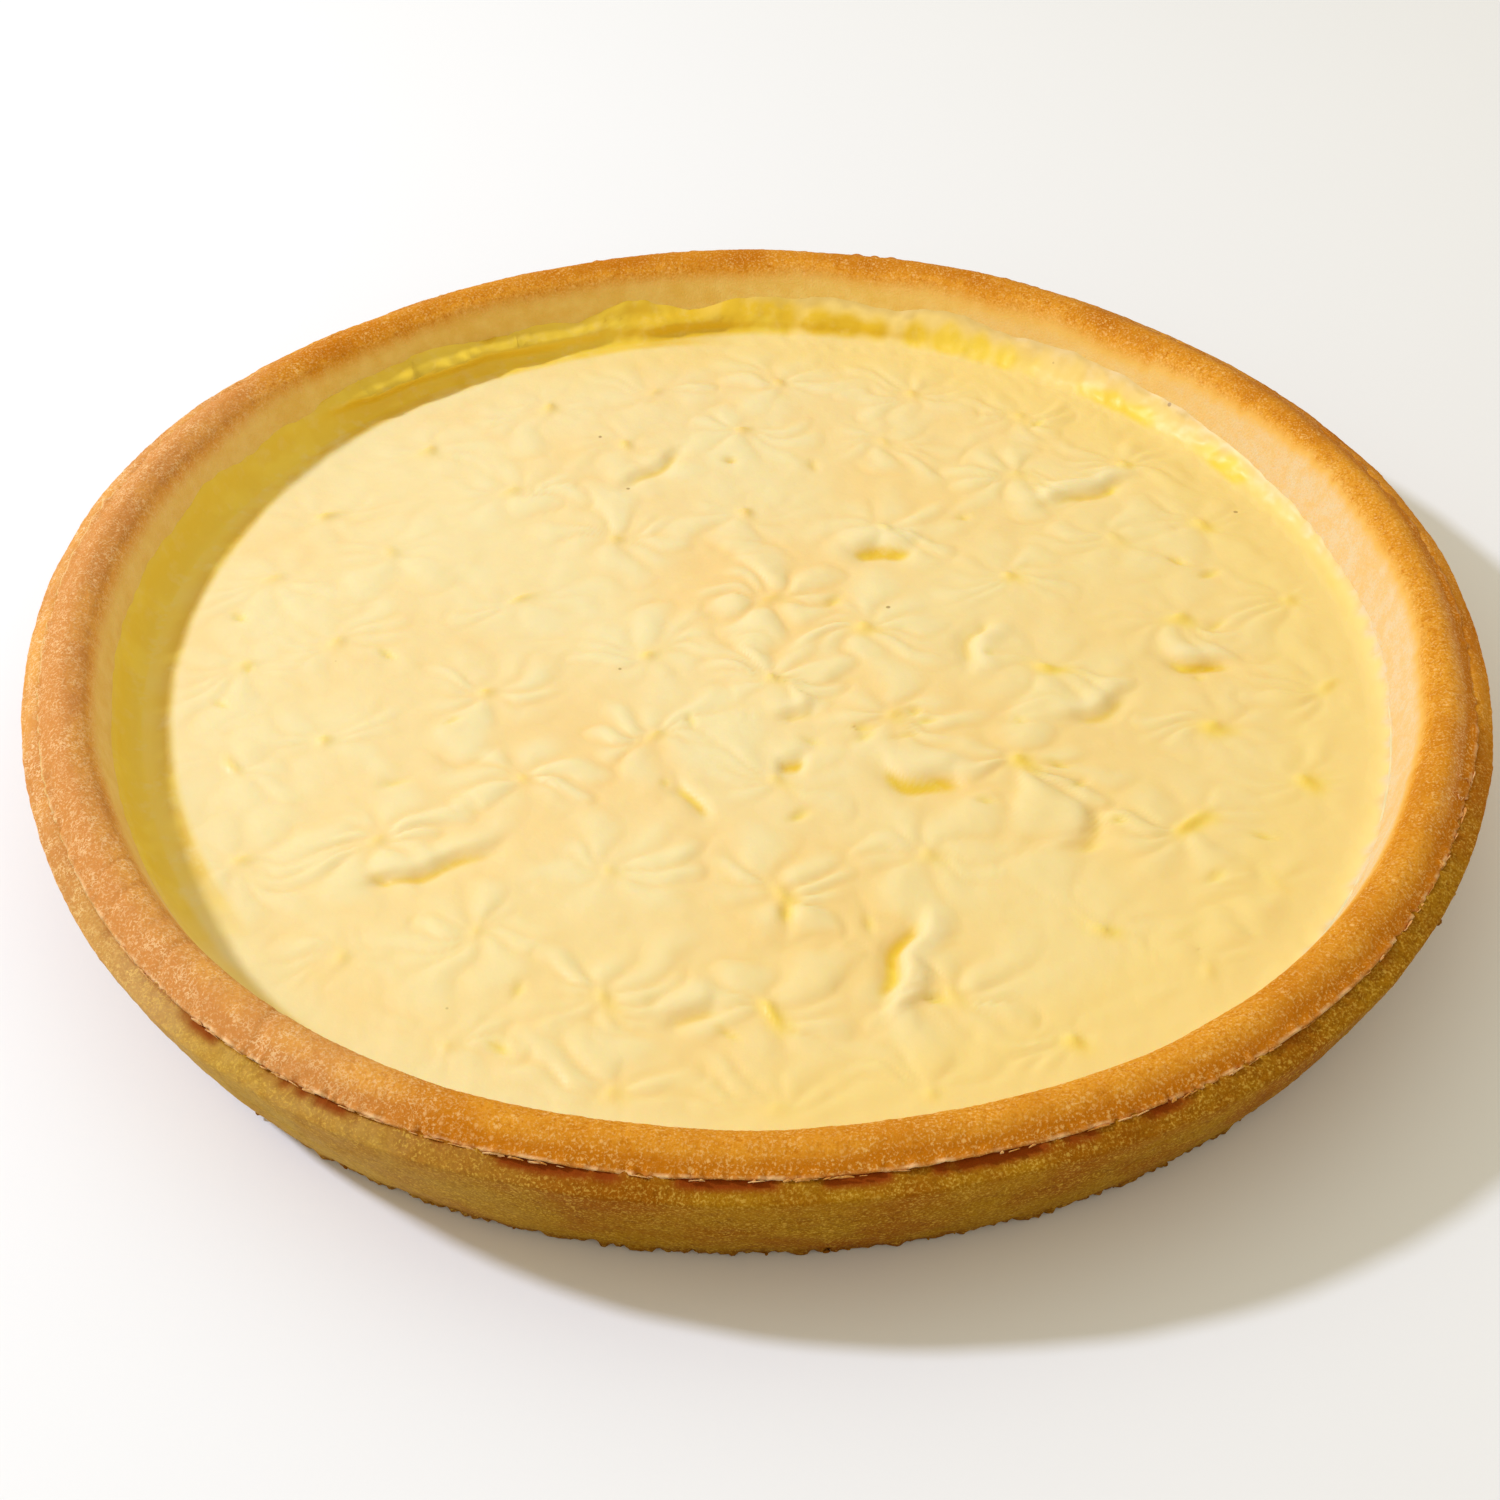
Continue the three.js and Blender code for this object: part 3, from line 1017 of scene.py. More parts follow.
@dataclass
class DoughCase:
    """The floor and the outer wall of the dough case, up to the seam; sizes in millimetres."""

    shape: TartShape
    seam: Seam
    finish: bpy.types.Material
    tones: CaseTones = CaseTones()
    base_radius: float = 130.8
    base_round: float = 1.5
    base_bend_share: float = 0.98
    wall_lean_deg: float = 25.0
    wall_bulge: float = 0.8
    widest_z: float = 25.0
    shoulder_bend: Point = (139.3, 26.6)
    shoulder: Point = (137.3, 27.2)
    under_lip: tuple[Point, ...] = ((136.4, 27.75), (135.4, 27.85), (133.5, 27.0))
    behind_rim: tuple[Point, ...] = ((127.6, 20.0), (125.4, 12.3))
    ledge_z: float = 11.5
    foot_points: int = 24
    foot_rows: int = 5
    wall_rows: int = 41
    shoulder_rows: int = 8
    seam_rows: int = 6
    steps: int = 1400
    shoulder_fade: Fade = Fade(0.35, 1.0)
    seam_fade: Fade = Fade(0.5, 0.0)
    seam_drop: float = 0.85
    seam_lift: float = 0.75
    seam_sway: float = 0.10
    foot_fade: Fade = Fade(0.12, 0.0)
    foot_rag: tuple[RingNoise, ...] = (RingNoise(40, 160, 55, 0.18), RingNoise(160, 460, 56, 0.20))
    calm_by_seam: Span = Span(1.0, 0.25)
    lumps: Grain = Grain(GrainBasis.SOFT, 13.0, 0.6, 2)
    pores: Grain = Grain(GrainBasis.FLOWING, 3.2, 0.32, 2)
    pores_to_foot: Span = Span(0.7, 1.3)
    grit: Grain = Grain(GrainBasis.SOFT, 1.3, 0.30, 1)
    grit_to_foot: Span = Span(0.8, 1.4)
    pore_height: float = 1.1
    grit_height: float = 3.2

    def outline(self) -> Outline:
        """Draws the half section from the axis below, up the wall and back to the axis inside.

        Returns:
            The half section.
        """
        shape, round_radius = self.shape, self.base_radius - self.base_round
        foot = []
        for bend in np.radians(np.linspace(-90.0, -self.wall_lean_deg, self.foot_points)):
            rise = self.base_round * (1.0 + math.sin(bend))
            foot.append((round_radius + self.base_round * math.cos(bend), rise))
        widest = (shape.widest_radius, self.widest_z)
        belly = ((foot[-1][0] + widest[0]) / 2.0 + self.wall_bulge, (foot[-1][1] + widest[1]) / 2.0)
        side = spline([foot[-1], belly, widest, self.shoulder_bend, self.shoulder])
        at_widest = 2 * CURVE_STEPS
        axis, base_bend = (0.0, 0.0), (self.base_bend_share * round_radius, 0.0)
        ledge = (float(shape.inside_radius(self.ledge_z)), self.ledge_z)
        outline = Outline()
        outline.follow(Zone.UNDERSIDE, [axis, axis], 1)
        outline.follow(Zone.UNDERSIDE, [axis, base_bend], 2)
        outline.follow(Zone.UNDERSIDE, [base_bend, (round_radius, 0.0)], 3)
        outline.follow(Zone.FOOT, foot, self.foot_rows)
        outline.follow(Zone.WALL, side[: at_widest + 1], self.wall_rows)
        outline.follow(Zone.SHOULDER, side[at_widest:], self.shoulder_rows)
        outline.follow(Zone.SEAM, [self.shoulder, *self.under_lip], self.seam_rows)
        outline.follow(Zone.HIDDEN, [self.under_lip[-1], self.behind_rim[0]], 1)
        outline.follow(Zone.HIDDEN, [*self.behind_rim, ledge], 2)
        outline.follow(Zone.HIDDEN, [ledge, (shape.wall_foot_radius, shape.wall_foot_z)], 1)
        outline.follow(Zone.HIDDEN, [axis, (shape.floor_radius, shape.floor_z)], 1)
        outline.follow(Zone.HIDDEN, [axis, (0.0, shape.floor_z)], 1)
        return outline

    def build(self) -> Piece:
        """Turns, tears and roughens the case, and dresses it.

        Returns:
            The finished piece.
        """
        turned = turn_outline("crust_case", self.outline(), self.steps)
        piece, angle = turned.piece, turned.angle
        gape = self.seam.gape(angle)
        near_seam = turned.fade(Zone.SHOULDER, self.shoulder_fade)
        near_seam = near_seam + turned.fade(Zone.SEAM, self.seam_fade)
        drop = self.seam_drop * gape - self.seam_lift + self.seam_sway * self.seam.wander(angle)
        edge = np.where(turned.within(Zone.FOOT), 1.0, turned.fade(Zone.WALL, self.foot_fade))
        radius = turned.radius + edge * total(self.foot_rag, angle)
        set_corners(piece, self.shape.uneven(radius, angle, turned.z - near_seam * drop))
        shown = turned.within(Zone.WALL, Zone.SHOULDER, Zone.FOOT)
        calm = shown * self.calm_by_seam.at(near_seam)
        self.lumps.press(piece, calm)
        pores = self.pores.press(piece, calm * self.pores_to_foot.at(edge))
        grit = self.grit.press(piece, shown * self.grit_to_foot.at(edge))
        self.rest_on_table(piece)
        height = np.clip(0.5 + self.pore_height * pores + self.grit_height * grit, 0.0, 1.0)
        store(piece, **self.tones.marks(turned, gape, height))
        return dress(piece, self.finish, "crust")

    @staticmethod
    def rest_on_table(piece: Piece) -> None:
        """Keeps the roughened foot from reaching below the table.

        Args:
            piece: the roughened case.
        """
        at = corners(piece)
        at[:, 2] = np.maximum(at[:, 2], 0.0)
        set_corners(piece, at)


@dataclass(frozen=True)
class RimTones:
    """Where the rim and the lining inside it are browned, stained, floury and torn. The stain on the lining
    is partly painted shade, the lit outer slope on the left is darkened as painted shade, and the pale lip
    is a painted highlight.

    Places across them run from 0 at the lip to 1 at the rim's inner edge, and on down the lining.
    """

    lining_run: float = 0.42
    drift: tuple[RoundTart, ...] = (
        RingNoise(5, 30, 44, 0.03),
        RingNoise(60, 240, 45, 0.018),
        Stretch(190.0, 36.0, 25.0, -0.2),
        Stretch(85.0, 40.0, 25.0, -0.13),
    )
    front_bake: float = 0.80
    pale_from: float = 0.94
    pale_sooner: tuple[Stretch, ...] = (Stretch(14.0, 10.0, 22.0, 0.14), Stretch(50.0, 18.0, 20.0, 0.07))
    pale_fade: Fade = Fade(0.26, -0.24)
    behind: Stretch = Stretch(125.0, 70.0, 35.0)
    not_behind: Stretch = Stretch(46.0, 16.0, 18.0, 0.55)
    not_behind_fade: Fade = Fade(0.72, 0.95)
    behind_bake: Span = Span(0.87, 0.46)
    behind_fade: Fade = Fade(0.42, 0.92)
    lining_paler: float = 0.06
    lining_fade: Fade = Fade(1.0, 1.4)
    lip_bake: float = 0.21
    lip_bake_fade: Fade = Fade(0.35, 0.05)
    # Painted shade: the outer slope on the left, which faces the light, is browned darker.
    lit_slope_darkening: Stretch = Stretch(185.0, 30.0, 30.0, 0.14)
    lit_slope_fade: Fade = Fade(0.6, 0.3)
    under_bake: float = 0.95
    stain: float = 0.85
    stain_drift: float = 0.6
    stain_fade: Fade = Fade(0.70, 1.05)
    flour_least: float = 0.05
    flour_left: Stretch = Stretch(195.0, 40.0, 25.0, 0.65)
    flour_curls: Stretch = Stretch(-11.0, 13.0, 8.0, 0.45)
    curls_rise: Fade = Fade(0.08, 0.2)
    curls_fall: Fade = Fade(0.5, 0.3)
    torn: float = 0.9
    torn_to: float = 0.8
    tip_fade: Fade = Fade(0.05, 0.02)
    under_tip_fade: Fade = Fade(0.75, 0.95)
    shreds: RingNoise = RingNoise(30, 200, 77)
    shred_fade: Fade = Fade(-0.2, 1.1)
    tip_by_shreds: Span = Span(0.12, 0.78)
    tip_by_tearing: Span = Span(0.3, 1.0)

    def marks(self, turned: TurnedPiece, seam: Seam, height: Numbers) -> dict[str, Numbers]:
        """Works out the marks of the rim.

        Args:
            turned: the turned rim.
            seam: the seam below it.
            height: height of the grain at each corner, 0 to 1.

        Returns:
            For each mark, one number for each corner.
        """
        angle, share = turned.angle, turned.share
        rim, under = turned.within(Zone.RIM), turned.within(Zone.LIP)
        down = np.where(turned.within(Zone.INSIDE), share, 1.0)
        across = np.where(rim, share, 1.0 + self.lining_run * down)
        drift = total(self.drift, angle)
        behind = self.not_behind.at(angle) * self.not_behind_fade.at(across)
        behind = self.behind.at(angle) * (1.0 - behind)
        bake = np.where(under, self.under_bake, self.baked(turned, across, drift, behind))
        # Olive stain on the lining behind and on the left: partly custard stain, partly painted shade.
        stained = self.stain * behind * self.stain_fade.at(across + self.stain_drift * drift)
        curls = turned.fade(Zone.RIM, self.curls_rise) * self.curls_fall.at(share)
        floury = self.flour_least + self.flour_left.at(angle)
        # Painted highlight along the tip of the lip.
        lip_highlight = turned.fade(Zone.RIM, self.tip_fade) + turned.fade(Zone.LIP, self.under_tip_fade)
        shreds = self.shred_fade.at(self.shreds.at(angle))
        lip_highlight = lip_highlight * self.tip_by_shreds.at(shreds)
        return {
            "bake": bake,
            "stained": stained,
            "floury": np.maximum(floury, curls * self.flour_curls.at(angle)),
            "grain": height,
            "torn": np.where(under & (share < self.torn_to), self.torn, 0.0),
            "lip": lip_highlight * self.tip_by_tearing.at(seam.lively(angle)),
        }

    def baked(self, turned: TurnedPiece, across: Numbers, drift: Numbers, behind: Numbers) -> Numbers:
        """How browned the rim and the lining are: sharply in front, softly behind, with the lit outer slope
        on the left darkened as painted shade.

        Args:
            turned: the turned rim.
            across: the place of each corner across the rim.
            drift: how far the browning strays there.
            behind: how much of the look behind each corner has.

        Returns:
            The browning of each corner.
        """
        angle = turned.angle
        pale_from = self.pale_from - total(self.pale_sooner, angle) - drift
        sharp = self.front_bake * self.pale_fade.at(across - pale_from)
        soft = self.behind_bake.at(self.behind_fade.at(across + drift))
        soft = soft - self.lining_paler * self.lining_fade.at(across)
        # Painted shade on the outer half of the rim on the left.
        left = np.where(turned.within(Zone.RIM), self.lit_slope_fade.at(across), 0.0)
        lip = self.lip_bake * turned.fade(Zone.RIM, self.lip_bake_fade)
        return sharp + (soft - sharp) * behind + lip + self.lit_slope_darkening.at(angle) * left


@dataclass
class DoughRim:
    """The rounded rim above the seam, with the lining of the wall inside; sizes in millimetres."""

    shape: TartShape
    seam: Seam
    finish: bpy.types.Material
    tones: RimTones = RimTones()
    lip: Point = (136.55, 28.2)
    under_lip: tuple[Point, ...] = ((134.6, 27.8), (135.9, 28.02))
    crest_radius: float = 131.2
    outer_drop: float = 0.8
    bend: Point = (128.0, 29.6)
    fine_to_z: float = 22.0
    lining_foot_z: float = 12.2
    lining_back: tuple[Point, ...] = ((125.0, 12.7), (127.2, 20.3), (132.6, 26.6))
    lip_rows: int = 6
    rim_rows: int = 34
    lining_rows: int = 9
    hidden_rows: int = 3
    steps: int = 1780
    lip_fade: Fade = Fade(0.14, 0.0)
    under_fade: Fade = Fade(0.3, 1.0)
    lip_out: Span = Span(0.35, 0.05)
    lip_sway: float = 0.16
    lip_rise: float = 0.12
    lip_lift: float = 0.36
    top_fade: Fade = Fade(1.0, 0.72)
    creases: Stretch = Stretch(222.0, 16.0, 14.0)
    crease_noise: RingNoise = RingNoise(70, 150, 61)
    crease_slant: float = 0.03
    crease_fade: Fade = Fade(0.8, 2.2)
    crease_depth: float = 0.25
    lumps: Grain = Grain(GrainBasis.SOFT, 19.0, 0.5, 1)
    lumps_on_rim: Span = Span(0.25, 1.0)
    lumps_to_lip: Span = Span(1.0, 0.4)
    swells: Grain = Grain(GrainBasis.FLOWING, 4.4, 0.16, 1)
    swells_on_rim: Span = Span(0.35, 1.0)
    swells_on_lining: float = 0.25
    wrinkles: Grain = Grain(GrainBasis.SOFT, 0.95, 0.26, 1)
    wrinkles_on_rim: Span = Span(0.18, 1.0)
    wrinkles_on_lining: float = 0.12
    swell_height: float = 0.6
    wrinkle_height: float = 5.5
    crease_height: float = 0.5

    def outline(self) -> Outline:
        """Draws the closed half section, from the seam over the crest and down inside.

        Returns:
            The half section.
        """
        shape = self.shape
        inner = (shape.rim_inner_radius, shape.rim_inner_z)
        crest = (self.crest_radius, shape.crest_z)
        outer = ((self.lip[0] + self.crest_radius) / 2.0, shape.crest_z - self.outer_drop)
        foot = (float(shape.inside_radius(self.lining_foot_z)), self.lining_foot_z)
        fine_end = (float(shape.inside_radius(self.fine_to_z)), self.fine_to_z)
        outline = Outline()
        outline.follow(Zone.LIP, [self.lining_back[-1], *self.under_lip, self.lip], self.lip_rows)
        outline.follow(Zone.RIM, spline([self.lip, outer, crest, self.bend, inner]), self.rim_rows)
        outline.follow(Zone.INSIDE, [inner, fine_end], self.lining_rows)
        outline.follow(Zone.HIDDEN, [fine_end, foot], self.hidden_rows)
        outline.follow(Zone.HIDDEN, [foot, *self.lining_back], self.hidden_rows)
        return outline

    def build(self) -> Piece:
        """Turns, tears and wrinkles the rim, and dresses it.

        Returns:
            The finished piece.
        """
        turned = turn_outline("crust_rim", self.outline(), self.steps)
        piece, angle = turned.piece, turned.angle
        rim, lining = turned.within(Zone.RIM), turned.within(Zone.INSIDE)
        gape, wander = self.seam.gape(angle), self.seam.wander(angle)
        to_lip = turned.fade(Zone.RIM, self.lip_fade) + turned.fade(Zone.LIP, self.under_fade)
        out = self.lip_out.at(gape) + self.lip_sway * wander
        rise = self.lip_rise * gape + self.lip_lift * wander
        at = self.shape.uneven(turned.radius + to_lip * out, angle, turned.z + to_lip * rise)
        set_corners(piece, at)
        top = turned.fade(Zone.RIM, self.top_fade)
        slanted = self.crease_noise.at(angle + self.crease_slant * turned.share)
        creases = self.creases.at(angle) * top * self.crease_fade.at(slanted)
        pressed = self.crease_depth * creases * MM
        set_corners(piece, corners(piece) - corner_normals(piece) * pressed[:, None])
        lumpy = rim * self.lumps_to_lip.at(to_lip) * self.lumps_on_rim.at(top)
        self.lumps.press(piece, lumpy)
        swelling = self.swells_on_lining * lining + rim * self.swells_on_rim.at(top)
        swells = self.swells.press(piece, swelling)
        wrinkled = self.wrinkles_on_lining * lining + rim * self.wrinkles_on_rim.at(top)
        wrinkles = self.wrinkles.press(piece, wrinkled)
        height = 0.5 + self.swell_height * swells + self.wrinkle_height * wrinkles
        height = np.clip(height - self.crease_height * creases, 0.0, 1.0)
        store(piece, **self.tones.marks(turned, self.seam, height))
        return dress(piece, self.finish, "crust")


def join_copies(name: str, model: Piece, places: list[Numbers]) -> Piece:
    """Copies a model with its own mesh to many places and joins the copies.

    Args:
        name: name of the joined piece.
        model: the piece to copy; it is used up.
        places: the corners of each copy, in metres.

    Returns:
        The joined piece.
    """
    bpy.ops.object.select_all(action="DESELECT")
    copies = [model]
    for _ in places[1:]:
        twin = model.copy()
        twin.data = model.data.copy()
        bpy.context.collection.objects.link(twin)
        copies.append(twin)
    for twin, points in zip(copies, places):
        set_corners(twin, points)
        twin.select_set(True)
    bpy.context.view_layer.objects.active = model
    bpy.ops.object.join()
    name_piece(model, name)
    return model


@dataclass
class SeamFlakes:
    """Thin curled shards of dough that the tearing left along the lip of the seam; in millimetres."""

    shape: TartShape
    seam: Seam
    finish: bpy.types.Material
    count: int = 110
    seed: int = 40
    lip: Point = (136.85, 28.12)
    scab_count: int = 8
    scab_deg: float = -22.0
    scab_half_deg: float = 1.3
    scab_radius: float = 135.8
    scab_half_width: float = 1.2
    scab_length_share: float = 0.5
    rim_fall: float = 0.8
    thickness: float = 0.35
    cells: tuple[int, int] = (8, 3)
    taper: float = 0.8
    curl: float = 0.30
    height_wave: float = 0.15
    height_wave_rate: float = 3.0
    width_wave: float = 0.25
    width_wave_rate: float = 4.0
    width_wave_start: float = 0.6
    half_lengths: Span = Span(0.3, 1.6)
    half_widths: Span = Span(0.14, 0.36)
    tilts: Span = Span(0.2, 1.2)
    swings: Span = Span(-0.25, 0.25)
    scab_swings: Span = Span(-3.0, 3.0)
    swing_out: float = 0.4
    swing_down: float = 0.3
    bake: float = 0.8
    # Painted highlight: how pale the edges of each flake are.
    flake_highlight: Span = Span(0.1, 0.7)

    def shard(self) -> Piece:
        """Models one shard, two units long and wide, with a curled edge.

        Returns:
            The shard.
        """
        bpy.ops.object.select_all(action="DESELECT")
        across, along = self.cells
        bpy.ops.mesh.primitive_grid_add(x_subdivisions=across, y_subdivisions=along, size=2.0)
        piece = bpy.context.active_object
        at = corners(piece)
        taper = 1.0 - self.taper * at[:, 0] ** 2
        rise = self.height_wave * np.sin(self.height_wave_rate * at[:, 0])
        sway = self.width_wave * np.sin(self.width_wave_rate * at[:, 0] + self.width_wave_start)
        at[:, 2] = self.curl * (at[:, 1] + 1.0) ** 2 * taper + rise
        at[:, 1] = at[:, 1] * taper + sway
        set_corners(piece, at)
        solid = piece.modifiers.new("thickness", "SOLIDIFY")
        solid.thickness = self.thickness
        bpy.ops.object.modifier_apply(modifier=solid.name)
        bpy.ops.object.shade_smooth()
        return piece

    def spots(self, random: np.random.Generator) -> list[Triple]:
        """Scatters the shards along the lip where it is torn, and in one scab on the rim.

        Args:
            random: the source of the draws.

        Returns:
            The angle, radius and height of each shard.
        """
        spots = []
        while len(spots) < self.count:
            angle = random.uniform(0.0, TURN)
            if random.uniform(0.0, 1.0) < float(self.seam.lively(np.array(angle))) ** 2:
                spots.append((angle, *self.lip))
        for _ in range(self.scab_count):
            radius = self.scab_radius + random.uniform(-self.scab_half_width, self.scab_half_width)
            turn_deg = self.scab_deg + random.uniform(-self.scab_half_deg, self.scab_half_deg)
            up_rim = self.rim_fall * max(self.lip[0] - radius, 0.0)
            spots.append((math.radians(turn_deg), radius, self.lip[1] + up_rim))
        return spots

    def build(self) -> Piece:
        """Places the shards, joins and dresses them.

        Returns:
            The finished piece.
        """
        model = self.shard()
        form = corners(model)
        random = np.random.default_rng(self.seed)
        places = []
        for angle, radius, z in self.spots(random):
            length, width = random.uniform(*self.half_lengths), random.uniform(*self.half_widths)
            tilt, swing = random.uniform(*self.tilts), random.uniform(*self.swings)
            if radius != self.lip[0]:
                length = self.scab_length_share * length
                swing = random.uniform(*self.scab_swings)
            ahead = length * form[:, 0]
            out = width * (form[:, 1] * math.cos(tilt) - form[:, 2] * math.sin(tilt))
            rise = width * (form[:, 1] * math.sin(tilt) + form[:, 2] * math.cos(tilt))
            out = out + self.swing_out * swing * ahead
            rise = rise - self.swing_down * swing * ahead
            places.append(self.shape.uneven(radius + out, angle + ahead / radius, z + rise))
        piece = join_copies("seam_flakes", model, places)
        flake_highlight = np.repeat(random.uniform(*self.flake_highlight, len(places)), len(form))
        store(piece, bake=np.full(len(flake_highlight), self.bake), lip=flake_highlight)
        return dress(piece, self.finish, None)


@dataclass
class BaseCrumbs:
    """Small browned crumbs round the foot of the wall, and a few that stick higher up; in millimetres."""

    shape: TartShape
    finish: bpy.types.Material
    count: int = 130
    seed: int = 60
    foot_radius: float = 130.3
    wall_lean: float = 0.45
    sizes: Span = Span(0.18, 0.46)
    heights: Span = Span(0.2, 1.7)
    off_wall: Span = Span(-0.35, 0.05)
    stretches: Span = Span(0.5, 1.6)
    # Angle in degrees, radius, height and size of each crumb that sticks higher up.
    strays: tuple[tuple[float, float, float, float], ...] = (
        (-33.5, 139.7, 23.0, 0.75),
        (-31.0, 139.9, 24.5, 0.4),
        (-101.0, 137.4, 19.0, 0.35),
        (-60.0, 135.6, 13.0, 0.4),
    )
    roughness: Grain = Grain(GrainBasis.SOFT, 900.0, 700.0, 2)
    bake: float = 0.9
    darkness: Span = Span(0.1, 0.9)

    def crumb(self) -> Piece:
        """Models one lumpy crumb with a radius of about one unit.

        Returns:
            The crumb.
        """
        bpy.ops.object.select_all(action="DESELECT")
        bpy.ops.mesh.primitive_ico_sphere_add(subdivisions=2, radius=1.0)
        piece = bpy.context.active_object
        self.roughness.press(piece, np.ones(len(piece.data.vertices)))
        bpy.ops.object.shade_smooth()
        return piece

    def spots(self, random: np.random.Generator) -> list[tuple[float, float, float, float]]:
        """Scatters the crumbs round the foot and adds the strays.

        Args:
            random: the source of the draws.

        Returns:
            The angle, radius, height and size of each crumb.
        """
        spots = []
        for _ in range(self.count):
            size, z = random.uniform(*self.sizes), random.uniform(*self.heights)
            angle, off = random.uniform(0.0, TURN), random.uniform(*self.off_wall)
            spots.append((angle, self.foot_radius + self.wall_lean * z + off, z, size))
        spots.extend((math.radians(turn_deg), *place) for turn_deg, *place in self.strays)
        return spots

    def build(self) -> Piece:
        """Places the crumbs, joins and dresses them.

        Returns:
            The finished piece.
        """
        model = self.crumb()
        form = corners(model)
        random = np.random.default_rng(self.seed)
        places = []
        for angle, radius, z, size in self.spots(random):
            spin, stretch = random.uniform(0.0, TURN), random.uniform(*self.stretches, 3)
            spun_x = form[:, 0] * math.cos(spin) - form[:, 1] * math.sin(spin)
            spun_y = form[:, 0] * math.sin(spin) + form[:, 1] * math.cos(spin)
            lump = np.column_stack([spun_x, spun_y, form[:, 2]]) * stretch * size
            rise = np.maximum(z + lump[:, 2], 0.0)
            places.append(self.shape.uneven(radius + lump[:, 0], angle + lump[:, 1] / radius, rise))
        piece = join_copies("base_crumbs", model, places)
        darkness = np.repeat(random.uniform(*self.darkness, len(places)), len(form))
        # On the crumbs the foot mark is each crumb's own random darkness, not shade.
        store(piece, bake=np.full(len(darkness), self.bake), wall=np.ones(len(darkness)), foot=darkness)
        return dress(piece, self.finish, None)


@dataclass(frozen=True)
class RosetteRing:
    """One ring of piped rosettes: its radius in millimetres, how many and where the first one is."""

    radius: float
    count: int
    start_deg: float


@dataclass(frozen=True)
class Sway:
    """How piping wanders sideways: lengths of a long wave and of what bends it, then of a short wave."""

    long: float
    long_bend: float
    long_bend_share: float
    short: float
    short_bend: float
    short_share: float = 0.4

    def at(self, along: Numbers, across: Numbers) -> Numbers:
        """How far the piping is off, with a long wave of height 1 and a lower short one."""
        slow = np.sin(along / self.long + self.long_bend_share * np.sin(across / self.long_bend))
        return slow + self.short_share * np.sin(along / self.short + across / self.short_bend)


